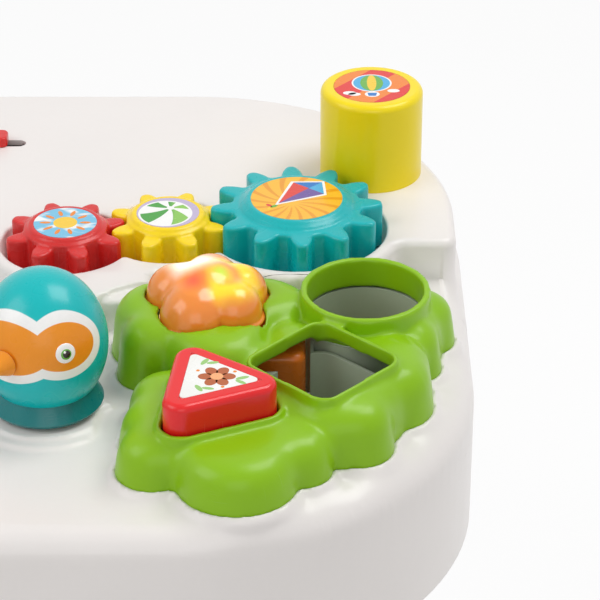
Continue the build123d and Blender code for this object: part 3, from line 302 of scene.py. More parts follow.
def relief_onto(wires, shader, strength, depth, height, **more):
    """Fine relief of a surface, from a height pattern."""
    bump = wires.node("Bump", Strength=strength, Distance=depth, Height=height, **more)
    wires.join(bump.outputs[0], shader.inputs["Normal"])


def moulded(
    name, colour, gloss=0.26, mottle=0.06, wear=0.35, grain=0.12, edge=0.5 * MM, coat=0.12, pattern=None
):
    """Moulded plastic finish; pattern, if given, draws the colour from the wiring."""
    made, wires, shader = finish_of(name)
    base = pattern(wires) if pattern else colour
    skin = wires.use(
        PLASTIC_SKIN, Colour=base, Rubbed=paler(colour), Mottle=mottle, Wear=wear,
        Gloss=gloss, Grain=grain, Edge_radius=edge,
    )
    skin_onto(wires, shader, skin)
    set_up(shader, Coat_Weight=coat, Coat_Roughness=0.12, IOR=1.49, Specular_IOR_Level=0.32)
    return made


def printed_film(name, pattern):
    """Varnished sticker film whose print comes from the pattern's wiring."""
    made, wires, shader = finish_of(name)
    skin = wires.use(FILM_SKIN, Print=pattern(wires))
    skin_onto(wires, shader, skin)
    set_up(shader, Coat_Weight=0.2, Coat_Roughness=0.08, IOR=1.5, Specular_IOR_Level=0.35)
    return made


def plain_ink(name, colour):
    return printed_film(name, lambda wires: colour)


def plated_steel():
    """Nickel-plated screws and pins: turning marks, tarnish in patches."""
    made, wires, shader = finish_of("plated steel")
    place = wires.place()
    rings = wires.noise(wires.scaled(place, (300, 300, 5200)), 1.0, 2.0)
    tarnish = wires.step(wires.noise(place, 260.0, 4.0), 0.45, 0.75)
    colour = wires.mix(tarnish, dye(196, 199, 203), dye(138, 134, 126))
    edges = wires.use(EDGE_WEAR, Edge_radius=0.15 * MM)
    wires.join(wires.mix(edges["Mask"], colour, dye(232, 233, 235)), shader.inputs["Base Color"])
    wires.join(wires.step(rings, 0.2, 0.8, 0.22, 0.42), shader.inputs["Roughness"])
    relief_onto(wires, shader, 0.2, 0.05 * MM, rings, Normal=edges["Soft normal"])
    set_up(shader, Metallic=1.0)
    return made


def soft_rubber(name, colour):
    """Grippy rubber: matt, pitted, with a dusty bloom on its upper faces."""
    made, wires, shader = finish_of(name)
    place = wires.place()
    pits = wires.node("TexVoronoi", Vector=place, Scale=1400.0).outputs["Distance"]
    up = wires.axes(wires.node("NewGeometry").outputs["Normal"])["Z"]
    bloom = wires.math("MULTIPLY", wires.step(up, 0.2, 1.0), wires.noise(place, 300.0, 3.0))
    stain = wires.step(wires.noise(place, 60.0, 3.0), 0.3, 0.7, 0.0, 0.25)
    blotch = wires.mix(stain, colour, dye(70, 70, 70))
    dusty = wires.mix(wires.math("MULTIPLY", bloom, 0.4), blotch, dye(196, 192, 184))
    wires.join(dusty, shader.inputs["Base Color"])
    wires.join(wires.step(pits, 0.0, 0.6, 0.85, 0.6), shader.inputs["Roughness"])
    relief_onto(wires, shader, 0.35, 0.1 * MM, pits)
    return made


def circuit_board():
    """Lacquered board: copper tracks under green lacquer, pale solder pads."""
    made, wires, shader = finish_of("circuit board")
    place = wires.place()
    tracks = wires.node("TexBrick", Vector=place, Scale=110.0, Mortar_Size=0.09).outputs["Fac"]
    grid = wires.node("TexVoronoi", Vector=place, Scale=210.0, Randomness=0.0).outputs["Distance"]
    patch = wires.step(wires.noise(place, 50.0), 0.5, 0.55)
    pads = wires.math("MULTIPLY", wires.step(grid, 0.2, 0.16), patch)
    lacquer = wires.mix(wires.noise(place, 30.0), dye(18, 92, 52), dye(34, 124, 66))
    tracked = wires.mix(wires.math("MULTIPLY", tracks, 0.5), lacquer, dye(78, 150, 84))
    wires.join(wires.mix(pads, tracked, dye(204, 206, 200)), shader.inputs["Base Color"])
    wires.join(wires.step(pads, 0.0, 1.0, 0.25, 0.4), shader.inputs["Roughness"])
    height = wires.math("ADD", wires.math("MULTIPLY", tracks, 0.4), pads)
    relief_onto(wires, shader, 0.4, 0.1 * MM, height)
    set_up(shader, Coat_Weight=0.4, Coat_Roughness=0.15)
    return made


def cell_jacket():
    """Battery cells: printed jacket with two bands along its length and shrink wrinkles."""
    made, wires, shader = finish_of("cell jacket")
    low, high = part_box("batteries")
    along = wires.axes(wires.place(low))["X"]
    share = wires.math("DIVIDE", along, high.x - low.x)
    band = wires.step(share, 0.69, 0.70)
    colour = wires.mix(band, dye(58, 66, 76), dye(196, 128, 58))
    foil = wires.noise(wires.scaled(wires.place(), (80, 900, 900)), 1.0, 2.0)
    shiny = wires.mix(wires.step(foil, 0.4, 0.9, 0.0, 0.2), colour, dye(220, 220, 220))
    wires.join(shiny, shader.inputs["Base Color"])
    wires.join(wires.step(foil, 0.2, 0.8, 0.22, 0.38), shader.inputs["Roughness"])
    relief_onto(wires, shader, 0.2, 0.1 * MM, foil)
    set_up(shader, Metallic=0.6, Coat_Weight=0.6)
    return made


def lamp_dome():
    """Clear lamp with a warm lit core."""
    made, wires, shader = finish_of("lamp dome")
    centre = top_middle("lamp")
    reach = wires.vector("LENGTH", wires.place(centre - Vector((0, 0, 3 * MM))))
    core = wires.step(reach, 4.5 * MM, 0.5 * MM)
    ripple = wires.noise(wires.place(), 700.0, 2.0)
    wires.join(wires.mix(core, dye(250, 226, 170), dye(255, 250, 232)), shader.inputs["Base Color"])
    wires.join(wires.mix(core, dye(255, 214, 120), dye(255, 250, 236)), shader.inputs["Emission Color"])
    wires.join(wires.step(ripple, 0.3, 0.7, 0.06, 0.14), shader.inputs["Roughness"])
    relief_onto(wires, shader, 0.1, 0.1 * MM, ripple)
    set_up(shader, Emission_Strength=1.0)
    return made


# ---------------------------------------------------------------- lit button
BUTTON = top_middle("light_lens")


def lit_lens():
    """Orange lens with the lamp's light painted on: a painted hot spot, and a yellow arc, pale, green and
    red patches of painted glow, in its colour and in its emission.
    """
    made, wires, shader = finish_of("lit lens")
    place = wires.place(BUTTON)
    swirl = wires.node("TexNoise", Vector=place, Scale=60.0, Detail=2.0).outputs["Color"]
    drift = wires.vector("SCALE", wires.vector("SUBTRACT", swirl, (0.5, 0.5, 0.5)))
    drift.node.inputs["Scale"].default_value = 5 * MM
    warped = wires.vector("ADD", place, drift)

    def patch(x, y, size, soft):
        """Round patch about a spot given in millimetres from the lens's middle."""
        flat = wires.scaled(wires.vector("SUBTRACT", warped, (x * MM, y * MM, 0)), (1, 1, 0.35))
        return wires.step(wires.vector("LENGTH", flat), (size + soft) * MM, (size - soft) * MM)

    def ring(x, y, size, width):
        """Soft ring about a spot, in millimetres too."""
        flat = wires.scaled(wires.vector("SUBTRACT", warped, (x * MM, y * MM, 0)), (1, 1, 0.25))
        off = wires.math("ABSOLUTE", wires.math("SUBTRACT", wires.vector("LENGTH", flat), size * MM))
        return wires.step(off, width * MM, 0.2 * width * MM)

    orange = dye(238, 138, 44)
    # painted glow: patches of the lamp's light painted over the lens's own orange
    painted_glow = wires.mix(patch(-5, -10, 4, 4), orange, dye(228, 86, 52))
    painted_glow = wires.mix(patch(-12, 0, 3, 5), painted_glow, dye(244, 196, 176))
    arc = wires.math("MULTIPLY", ring(8, -3, 12, 7), wires.step(wires.axes(place)["X"], -1 * MM, 5 * MM))
    painted_glow = wires.mix(arc, painted_glow, dye(255, 206, 30))
    painted_glow = wires.mix(patch(7, -5, 4, 4), painted_glow, dye(186, 208, 46))
    # painted hot spot: a near-white patch standing for the lamp shining through
    hot = patch(-6, 7, 9, 6)
    painted_glow = wires.mix(hot, painted_glow, dye(255, 250, 225))
    skin = wires.use(
        PLASTIC_SKIN, Colour=painted_glow, Rubbed=paler(orange), Mottle=0.04, Wear=0.2,
        Gloss=0.2, Grain=0.08, Edge_radius=0.4 * MM,
    )
    skin_onto(wires, shader, skin)
    # painted glow: the lens gives off its painted colours as light, faintly all over and fully at the hot
    # spot
    share = wires.math("MAXIMUM", patch(3, -1, 17, 8), 0.2)
    share = wires.math("MAXIMUM", wires.math("MULTIPLY", share, 0.55), hot)
    wires.join(wires.mix(share, (0, 0, 0, 1), painted_glow), shader.inputs["Emission Color"])
    set_up(shader, Emission_Strength=0.8, Subsurface_Weight=0.2, Subsurface_Scale=4 * MM, Coat_Weight=0.3)
    set_up(shader, Subsurface_Radius=(1.0, 0.45, 0.15), Coat_Roughness=0.06)
    return made


# ---------------------------------------------------------------- bird
BIRD = top_middle("bird_body")
BEAK = (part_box("bird_beak")[0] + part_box("bird_beak")[1]) / 2
BIRD_FACING = atan2(BEAK.x - BIRD.x, -(BEAK.y - BIRD.y))   # from the front, towards +X
EYE_ANGLE = radians(55)     # each side of the beak
EYE_Z = BEAK.z + 5 * MM
# ovals of the face: direction, half width in radians, half height and rise above the eyes in mm
FACE_OVALS = ((EYE_ANGLE, 0.56, 10, 2), (-EYE_ANGLE, 0.56, 10, 2), (0.0, 0.72, 11, 1))
FACE_BORDER = (0.17, 4.2)   # its pale border: added half width and half height


def bird_colours(wires):
    """Teal body with an orange face in a pale border."""
    place = wires.axes(wires.place(BIRD, -BIRD_FACING))
    angle = wires.math("ARCTAN2", place["X"], wires.math("MULTIPLY", place["Y"], -1.0))
    height = wires.math("ADD", place["Z"], BIRD.z - EYE_Z)

    def mask(grow_wide, grow_tall):
        """1 inside three ovals: one about each eye and one about the beak."""
        inside = 0.0
        for turn, wide, tall, rise in FACE_OVALS:
            across = wires.math("DIVIDE", wires.math("SUBTRACT", angle, turn), wide + grow_wide)
            up = wires.math("DIVIDE", wires.math("SUBTRACT", height, rise * MM), (tall + grow_tall) * MM)
            out = wires.math("ADD", wires.math("MULTIPLY", across, across), wires.math("MULTIPLY", up, up))
            inside = wires.math("MAXIMUM", inside, wires.step(out, 1.04, 0.98))
        return inside

    border = mask(*FACE_BORDER)
    patch = mask(0.0, 0.0)
    faced = wires.mix(border, BIRD_TEAL, PRINT_WHITE)
    return wires.mix(patch, faced, BEAK_ORANGE)


# ---------------------------------------------------------------- printed patterns
def kite_film(wires):
    """Sunny film with narrow darker arcs that curl out from near its middle."""
    place = wires.place(top_middle("teal_sticker") + Vector((-2.5, -5, 0)) * MM)
    spot = wires.axes(place)
    angle = wires.math("ARCTAN2", spot["Y"], spot["X"])
    reach = wires.vector("LENGTH", place)
    curl = wires.math("ADD", wires.math("MULTIPLY", angle, 16.0), wires.math("MULTIPLY", reach, 210.0))
    wave = wires.math("SINE", curl)
    narrow = wires.math("MULTIPLY", wires.step(wave, 0.35, 0.8), wires.step(reach, 2 * MM, 6 * MM))
    return wires.mix(narrow, dye(252, 190, 44), dye(238, 158, 22))


def ball_film(wires):
    """Lilac film with a striped ball: ten panels that meet at a pole, in a white outline."""
    middle = top_middle("yellow_sticker") + Vector((-1.2, -1, 0)) * MM
    pole = middle + Vector((2.2, 5.4, 0)) * MM
    off_pole = wires.axes(wires.place(pole))
    from_middle = wires.vector("LENGTH", wires.scaled(wires.place(middle), (1, 1, 0)))
    angle = wires.math("ARCTAN2", off_pole["Y"], off_pole["X"])
    reach = wires.vector("LENGTH", wires.scaled(wires.place(pole), (1, 1, 0)))
    bent = wires.math("ADD", wires.math("MULTIPLY", angle, 5.0), wires.math("MULTIPLY", reach, 75.0))
    stripe = wires.step(wires.math("SINE", bent), -0.06, 0.06)
    green = wires.mix(wires.step(off_pole["X"], -1 * MM, 3 * MM), dye(64, 160, 56), dye(140, 200, 84))
    panels = wires.mix(stripe, PRINT_WHITE, green)
    cap = wires.mix(wires.step(reach, 1.9 * MM, 1.7 * MM), panels, PRINT_WHITE)
    lilac = dye(196, 182, 214)
    outlined = wires.mix(wires.step(from_middle, 12.9 * MM, 12.7 * MM), lilac, PRINT_WHITE)
    return wires.mix(wires.step(from_middle, 11.9 * MM, 11.7 * MM), outlined, cap)


def sky_film(wires):
    """Pale blue film with soft cloud bands."""
    place = wires.place(top_middle("red_sticker"))
    cloud = wires.step(wires.noise(wires.scaled(place, (60, 130, 60)), 1.0, 2.0), 0.5, 0.62)
    return wires.mix(cloud, dye(120, 196, 230), PRINT_WHITE)


def leaf_film(wires):
    """White film with a very faint warm tint towards its edge."""
    place = wires.place(top_middle("triangle_sticker"))
    edge = wires.step(wires.vector("LENGTH", place), 6 * MM, 20 * MM)
    return wires.mix(edge, PRINT_WHITE, dye(244, 244, 238))


def stripe_film(wires):
    """Broad slanted bands in two warm colours."""
    spot = wires.axes(wires.place(top_middle("round_sticker"), 0.7))
    band = wires.math("SINE", wires.math("MULTIPLY", spot["X"], 260.0))
    return wires.mix(wires.step(band, -0.03, 0.03), dye(228, 44, 40), dye(244, 134, 36))


# ---------------------------------------------------------------- dressing the CAD nodes
WHITE = moulded("white body", BODY_WHITE, gloss=0.3, mottle=0.03, wear=0.3, edge=0.6 * MM)
STEEL = plated_steel()
BOARD = circuit_board()
BLACK = moulded("black plastic", dye(40, 40, 43), gloss=0.45, mottle=0.15, wear=0.5, grain=0.3)
TEAL = moulded("teal gear", GEAR_TEAL)
YELLOW = moulded("yellow gear", GEAR_YELLOW)
RED = moulded("red gear", GEAR_RED)
PAD_GREY = soft_rubber("grey rubber", dye(150, 150, 148))

FINISHES = {
    "top_shell": WHITE, "bottom_shell": WHITE, "battery_door": WHITE, "key_tray": WHITE,
    "leg_front_left": WHITE, "leg_front_right": WHITE, "leg_rear_left": WHITE, "leg_rear_right": WHITE,
    "sorter_cover": moulded("green cover", COVER_GREEN, gloss=0.32, mottle=0.06, edge=0.6 * MM, coat=0.08),
    "sorter_tray": moulded("grey tray", TRAY_GREY, gloss=0.42, mottle=0.08, wear=0.5, grain=0.3, coat=0.0),
    "light_housing": moulded("grey housing", TRAY_GREY, gloss=0.45, mottle=0.08, grain=0.3, coat=0.0),
    "square_block": moulded("orange block", BLOCK_ORANGE),
    "triangle_block": moulded("red block", BLOCK_RED, gloss=0.22, coat=0.25),
    "round_block": moulded("yellow block", BLOCK_YELLOW, gloss=0.28),
    "teal_gear": TEAL, "yellow_gear": YELLOW, "red_gear": RED,
    "teal_sticker": printed_film("kite film", kite_film),
    "yellow_sticker": printed_film("ball film", ball_film),
    "red_sticker": printed_film("sky film", sky_film),
    "triangle_sticker": printed_film("leaf film", leaf_film),
    "round_sticker": printed_film("stripe film", stripe_film),
    "gear_pins": STEEL, "gear_screws": STEEL, "bird_pin": STEEL, "bird_screw": STEEL, "key_rod": STEEL,
    "door_screw": STEEL, "case_screws": STEEL, "battery_contacts": STEEL,
    "bird_body": moulded("bird body", BIRD_TEAL, pattern=bird_colours),
    "bird_base": moulded("bird base", BIRD_DARK),
    "bird_beak": moulded("bird beak", BEAK_ORANGE),
    "light_lens": lit_lens(), "lamp": lamp_dome(),
    "light_board": BOARD, "main_board": BOARD, "key_board": BOARD,
    "button_pad": soft_rubber("button rubber", dye(140, 140, 140)),
    "contact_strip": soft_rubber("contact rubber", dye(120, 120, 122)),
    "key_frame": moulded("key frame", GEAR_TEAL), "speaker_grille": moulded("speaker grille", GEAR_YELLOW),
    "speaker": soft_rubber("speaker cone", dye(46, 46, 48)),
    "switch_body": BLACK, "switch_knob": moulded("switch knob", GEAR_RED),
    "batteries": cell_jacket(), "foot_pads": PAD_GREY,
}
for number, colour in enumerate(KEY_COLOURS, 1):
    FINISHES[f"key_{number}"] = moulded(f"key {number}", colour)
for node, material in FINISHES.items():
    NODES[node].data.materials.clear()
    NODES[node].data.materials.append(material)


# ---------------------------------------------------------------- new pieces
CREASE = 35       # degrees between faces above which an edge is drawn sharp
NO_CREASE = 180


def finished(name, shape, material, body, crease=CREASE):
    """Turns a bmesh in the row frame into a piece that rides on a body."""
    bmesh.ops.recalc_face_normals(shape, faces=shape.faces)
    mesh = bpy.data.meshes.new(name)
    shape.to_mesh(mesh)
    shape.free()
    mesh.shade_smooth()
    mesh.set_sharp_from_angle(angle=radians(crease))
    piece = bpy.data.objects.new(name, mesh)
    bpy.context.scene.collection.objects.link(piece)
    mesh.materials.append(material)
    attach(piece, body)
    return piece


# ---------------------------------------------------------------- softened mouldings
def remeshed(shape, voxel):
    """Even mesh of a closed bmesh, which is freed."""
    mesh = bpy.data.meshes.new("rough")
    shape.to_mesh(mesh)
    shape.free()
    rough = bpy.data.objects.new("rough", mesh)
    bpy.context.scene.collection.objects.link(rough)
    even = rough.modifiers.new("even", "REMESH")
    even.mode, even.voxel_size = "VOXEL", voxel
    result = bpy.data.meshes.new_from_object(rough.evaluated_get(bpy.context.evaluated_depsgraph_get()))
    bpy.data.objects.remove(rough)
    fine = bmesh.new()
    fine.from_mesh(result)
    return fine


def node_copy(node):
    """Merged copy of a CAD node's mesh."""
    shape = bmesh.new()
    shape.from_mesh(NODES[node].data)
    bmesh.ops.remove_doubles(shape, verts=shape.verts, dist=0.005 * MM)
    return shape


def surface_of(*nodes):
    """Search tree over some nodes' faces."""
    shape = bmesh.new()
    for node in nodes:
        shape.from_mesh(NODES[node].data)
    tree = BVHTree.FromBMesh(shape)
    shape.free()
    return tree


def eased(shape, passes_at, most):
    """Smooths each vertex as many times as passes_at gives for its place."""
    due = sorted(((passes_at(v.co), i) for i, v in enumerate(shape.verts)), reverse=True)
    shape.verts.ensure_lookup_table()
    for step in range(most):
        moving = [shape.verts[i] for passes, i in due if passes > step]
        if moving:
            bmesh.ops.smooth_vert(
                shape, verts=moving, factor=0.5, use_axis_x=True, use_axis_y=True, use_axis_z=True
            )
    return shape


def ramp(value, low, high):
    """0 below low, 1 above high, straight between."""
    return min(max((value - low) / (high - low), 0.0), 1.0)


def opening_middle(name):
    """Middle of an opening of the record."""
    boxes = {item["name"]: item["box_m"] for item in frame["record"]["physics"]["openings"]}
    low, high = boxes[name]
    return (Vector(low) + Vector(high)) / 2


COLLAR_R = 29 * MM          # outside of the round collar
RIM_HALF = 25.5 * MM        # middle of the square rim to its outer face
RIM_TURN = radians(47)      # of the square rim about the vertical axis
COVER_VOXEL = 1.0 * MM
COVER_PASSES = 60           # smoothing passes on the open domes
FOOT_PASSES = 4             # smoothing passes just above the foot
BLOCK_KEEP = 3.6 * MM       # width of the pocket's rim round the triangular block, kept as it is
BUTTON_KEEP = 2.5 * MM      # width kept as it is round the button
RIM_BLEND = 7 * MM          # over which smoothing sets in beside rims
FOOT_KEEP = 3 * MM          # kept above the foot
FOOT_BLEND = 8 * MM         # over which smoothing sets in above that


def soft_cover():
    """Sorter cover with its domes' shoulders and valleys eased, and its rims and foot as they are."""
    collar, rim = opening_middle("round_hole"), opening_middle("square_hole")
    near_block, near_button = surface_of("triangle_block"), surface_of("light_lens")
    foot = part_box("sorter_cover")[0].z

    def passes(place):
        off_collar = (place - collar).to_2d().length - COLLAR_R
        across = (place - rim).to_2d()
        across.rotate(Matrix.Rotation(RIM_TURN, 2))
        off_rim = max(abs(across.x), abs(across.y)) - RIM_HALF
        off_block = near_block.find_nearest(place)[3] - BLOCK_KEEP
        off_button = near_button.find_nearest(place)[3] - BUTTON_KEEP
        free = min(off_collar, off_rim, off_block, off_button) / RIM_BLEND
        above = (place.z - foot - FOOT_KEEP) / FOOT_BLEND
        low_passes = FOOT_PASSES * ramp(above, 0, 0.4)
        return low_passes + (COVER_PASSES - FOOT_PASSES) * ramp(min(free, above), 0, 1)

    shape = eased(remeshed(node_copy("sorter_cover"), COVER_VOXEL), passes, COVER_PASSES)
    piece = finished("cover_shell", shape, FINISHES["sorter_cover"], "cover", NO_CREASE)
    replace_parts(piece, "sorter_cover")


PRESS = 2.5 * MM            # travel of the button
PRESS_ROOM = 0.25 * MM      # kept free above the light housing at full press
WALL_ROOM = 0.6 * MM        # kept free beside the housing's walls
LENS_VOXEL = 0.6 * MM
LENS_PASSES = 90            # smoothing passes on the lens's crown
LENS_RISE = 29 * MM         # above the cover's foot, where they set in
LENS_BLEND = 9 * MM         # height over which they grow
UNDERSIDE = -0.2            # upward part of the normal below which a face looks down


def soft_lens():
    """Button lens as one soft cloud: its lobes run into each other, clear of the housing below."""
    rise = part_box("sorter_cover")[0].z + LENS_RISE

    def passes(place):
        return LENS_PASSES * ramp(place.z, rise, rise + LENS_BLEND)

    shape = eased(remeshed(node_copy("light_lens"), LENS_VOXEL), passes, LENS_PASSES)
    low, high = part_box("light_housing")
    roof = high.z + PRESS + PRESS_ROOM
    shape.normal_update()
    for corner in shape.verts:
        spot = corner.co
        across = low.x - WALL_ROOM < spot.x < high.x + WALL_ROOM
        along = low.y - WALL_ROOM < spot.y < high.y + WALL_ROOM
        if across and along and corner.normal.z < UNDERSIDE and high.z < spot.z < roof:
            corner.co.z = roof
    piece = finished("button_lens", shape, FINISHES["light_lens"], "lens", NO_CREASE)
    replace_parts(piece, "light_lens")


def soft_pad():
    """Rubber pad under the button, as a piece with a mesh of its own that rides with the lens."""
    piece = finished("press_pad", node_copy("button_pad"), FINISHES["button_pad"], "lens")
    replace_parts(piece, "button_pad")
    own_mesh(piece)


FLARE_H = 5 * MM            # plinth above the deck
LIP_W = 1.2 * MM            # flat lip round the cover's foot
FLARE_W = 14 * MM           # reach of the swell beyond the foot
FLARE_STEEP_W = 3.4 * MM    # reach of its steep part
FLARE_STEEP = 0.45          # share of the plinth's height that the steep part takes
FLARE_FADE = 6 * MM         # beyond the swell, where smoothing dies out
FLARE_PASSES = 10
FOOT_SEAT = 3.5 * MM        # cover's foot above the deck
DECK_VOXEL = 1.0 * MM
CUT_ROOM = 6 * MM           # from the bird's ring and the cover to the reworked part's edge
CUT_DEPTH = 22 * MM         # of the reworked part below the deck
OVERLAP = 10 * MM           # reworked part beyond its edge before it is trimmed
SKIN_DEPTH = 8 * MM         # below the deck, within which the wall's top is moved
UNDER_COVER = 0.9 * MM      # outside the foot, from which the deck is moved
LEVEL_DOWN = -0.95          # upward part of the normal of a flat ceiling
FLAT = 0.02                 # radians below which its faces merge


def flare(reach):
    """Height of the swell round the sorter above the deck, at a distance from the cover's foot."""
    steep = 1 - ramp(reach, LIP_W, FLARE_STEEP_W)
    gentle = (1 - ramp(reach, LIP_W, FLARE_W)) ** 2
    return FLARE_H * (FLARE_STEEP * steep + (1 - FLARE_STEEP) * gentle)


def cut_away(shape, sides, grow=0.0, cap=False):
    """Keeps what lies on the inner side of each plane, given by a point and its inward normal."""
    for point, inward in sides:
        whole = shape.verts[:] + shape.edges[:] + shape.faces[:]
        made = bmesh.ops.bisect_plane(
            shape, geom=whole, dist=1e-7, plane_co=point - inward * grow, plane_no=inward, clear_inner=True
        )
        if cap:
            rim = [g for g in made["geom_cut"] if isinstance(g, bmesh.types.BMEdge)]
            bmesh.ops.holes_fill(shape, edges=rim, sides=0)
    return shape


def soft_deck():
    """Body shell whose deck swells up to the sorter's foot, instead of standing there as a ring."""
    low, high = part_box("sorter_cover")
    deck = low.z - FOOT_SEAT
    sides = (
        (Vector((2 * BIRD.x - low.x - CUT_ROOM, 0, 0)), Vector((1, 0, 0))),
        (Vector((0, high.y + CUT_ROOM, 0)), Vector((0, -1, 0))),
        (Vector((0, 0, deck - CUT_DEPTH)), Vector((0, 0, 1))),
    )
    foot = surface_of("sorter_cover")
    level = low.z + 1 * MM

    def off_foot(place):
        """Distance outside the cover's foot, below 0 under the cover."""
        spot = Vector((place.x, place.y, level))
        near, normal, _, reach = foot.find_nearest(spot)
        return reach if (spot - near).dot(normal) > 0 else -reach

    front = remeshed(cut_away(node_copy("top_shell"), sides, OVERLAP, True), DECK_VOXEL)
    front.normal_update()
    for corner in front.verts:
        reach = off_foot(corner.co)
        outer = corner.normal.z > -0.3 and corner.co.z > deck - SKIN_DEPTH
        if outer and UNDER_COVER < reach < FLARE_W:
            corner.co.z = min(corner.co.z, deck) + flare(reach)

    def passes(place):
        reach = off_foot(place)
        beside = ramp(reach, 0.4 * MM, 3 * MM)
        return FLARE_PASSES * beside * (1 - ramp(reach, FLARE_W, FLARE_W + FLARE_FADE))

    front = eased(remeshed(front, DECK_VOXEL), passes, FLARE_PASSES)
    cut_away(front, sides)
    front.normal_update()
    hidden = [v for v in front.verts if v.normal.z < LEVEL_DOWN]
    under = set(hidden)
    inner = [e for e in front.edges if e.verts[0] in under and e.verts[1] in under]
    bmesh.ops.dissolve_limit(front, angle_limit=FLAT, verts=hidden, edges=inner)
    rest = node_copy("top_shell")
    for point, inward in sides:
        whole = rest.verts[:] + rest.edges[:] + rest.faces[:]
        bmesh.ops.bisect_plane(rest, geom=whole, dist=1e-7, plane_co=point, plane_no=inward)
    gone = [f for f in rest.faces if all((f.calc_center_median() - p).dot(n) > 0 for p, n in sides)]
    bmesh.ops.delete(rest, geom=gone, context="FACES")
    swell = bpy.data.meshes.new("swell")
    front.to_mesh(swell)
    front.free()
    rest.from_mesh(swell)
    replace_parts(finished("deck_shell", rest, FINISHES["top_shell"], "table"), "top_shell")


GEAR_PASSES = 7
GEAR_CREASE = 60


def soft_gear(node, piece_name, body, voxel):
    """Gear with the moulded softness of its tooth edges."""
    shape = eased(remeshed(node_copy(node), voxel), lambda place: GEAR_PASSES, GEAR_PASSES)
    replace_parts(finished(piece_name, shape, FINISHES[node], body, GEAR_CREASE), node)


PRINT_T = 0.03 * MM    # thickness of one printed layer


def raised(shape, faces, layers):
    """Gives flat faces the thickness of some printed layers."""
    grown = bmesh.ops.extrude_face_region(shape, geom=faces)
    corners = [g for g in grown["geom"] if isinstance(g, bmesh.types.BMVert)]
    bmesh.ops.translate(shape, verts=corners, vec=(0, 0, layers * PRINT_T))


def printed_shape(name, spot, outline, layer, material, body):
    """Flat print with the given corners, in millimetres from the sticker's middle."""
    shape = bmesh.new()
    corners = [shape.verts.new(spot + Vector((x, y, 0)) * MM) for x, y in outline]
    raised(shape, [shape.faces.new(corners)], layer)
    return finished(name, shape, material, body)


def printed_oval(name, spot, ovals, layer, material, body):
    """Flat print of ovals: each has x, y, half length, half width, turn in degrees."""
    shape = bmesh.new()
    for x, y, long, wide, turn in ovals:
        place = (
            Matrix.Translation(spot + Vector((x, y, 0)) * MM)
            @ Matrix.Rotation(radians(turn), 4, "Z")
            @ Matrix.Diagonal((long * MM, wide * MM, 1, 1))
        )
        made = bmesh.ops.create_circle(shape, cap_ends=True, segments=40, radius=1, matrix=place)
        raised(shape, list({f for v in made["verts"] for f in v.link_faces}), layer)
    return finished(name, shape, material, body)


INKS = {
    "white": plain_ink("white ink", PRINT_WHITE),
    "red": plain_ink("red ink", dye(226, 62, 50)),
    "blue": plain_ink("blue ink", dye(30, 120, 200)),
    "sky": plain_ink("sky ink", dye(70, 176, 226)),
    "violet": plain_ink("violet ink", dye(112, 84, 160)),
    "green": plain_ink("green ink", dye(104, 178, 66)),
    "leaf": plain_ink("leaf ink", dye(158, 206, 120)),
    "brown": plain_ink("brown ink", dye(186, 94, 40)),
    "peach": plain_ink("peach ink", dye(250, 178, 120)),
    "yellow": plain_ink("yellow ink", dye(250, 206, 50)),
    "orange": plain_ink("orange ink", dye(242, 140, 40)),
    "dark": plain_ink("dark ink", INK_DARK),
}


def kite():
    """Four-panel kite with a white outline and a bow on its tail."""
    spot = top_middle("teal_sticker")
    nose, left = Vector((12.1, 16.0)), Vector((-1.5, 15.8))
    right, tail = Vector((13.0, 4.0)), Vector((-8.6, -5.6))
    cross = left.lerp(right, 0.5)
    margins = ((nose, 1.6), (left, 1.6), (tail, 2.4), (right, 1.6))
    outline = [corner + (corner - cross).normalized() * grow for corner, grow in margins]
    printed_shape("kite_outline", spot, outline, 1, INKS["white"], "teal_wheel")
    panels = {
        "red": (left, tail, cross), "violet": (tail, right, cross),
        "sky": (right, nose, cross), "blue": (nose, left, cross),
    }
    for ink, corners in panels.items():
        printed_shape(f"kite_{ink}", spot, corners, 2, INKS[ink], "teal_wheel")
    bows = {"green": [(-10.6, -8.4, 2.0, 1.0, 35)], "red": [(-13.0, -7.4, 1.7, 0.9, -40)],
            "yellow": [(-12.6, -10.4, 1.9, 0.9, 70)]}
    for ink, ovals in bows.items():
        printed_oval(f"kite_bow_{ink}", spot, ovals, 1, INKS[ink], "teal_wheel")


def sun():
    """Sun with ten rays on the red gear's film."""
    spot = top_middle("red_sticker")
    rays = [(9.4 * cos(2 * pi * k / 10), 9.4 * sin(2 * pi * k / 10), 2.6, 1.0, 36 * k) for k in range(10)]
    printed_oval("sun_rays", spot, rays, 1, INKS["orange"], "red_wheel")
    printed_oval("sun_disc", spot, [(0, 0, 5.6, 5.6, 0)], 1, INKS["yellow"], "red_wheel")


def flower():
    """Brown flower with a peach middle, and leaf sprigs towards the corners of the red block's film."""
    spot = top_middle("triangle_sticker")
    petals = []
    for k in range(6):
        turn = 2 * pi * k / 6
        petals.append((-1 + 4.6 * cos(turn), -0.5 + 4.6 * sin(turn), 3.3, 2.5, 60 * k))
    printed_oval("flower_petals", spot, petals, 1, INKS["brown"], "triangle")
    printed_oval("flower_middle", spot, [(-1, -0.5, 2.7, 2.7, 0)], 2, INKS["peach"], "triangle")
    sprigs = [
        (-6.4, 11.2, 2.8, 1.1, 60), (-3.0, 10.4, 2.6, 1.0, 10), (9.6, -1.6, 2.9, 1.1, 20),
        (9.0, -4.8, 2.6, 1.0, -35), (-8.2, -9.6, 2.8, 1.1, -60), (-4.4, -9.8, 2.6, 1.0, -10),
    ]
    printed_oval("leaf_sprigs", spot, sprigs, 1, INKS["leaf"], "triangle")
    berries = [(6.4, 3.4, 0.8, 0.8, 0), (-9.0, 4.2, 0.8, 0.8, 0), (1.6, -8.6, 0.8, 0.8, 0)]
    printed_oval("flower_berries", spot, berries, 1, INKS["orange"], "triangle")


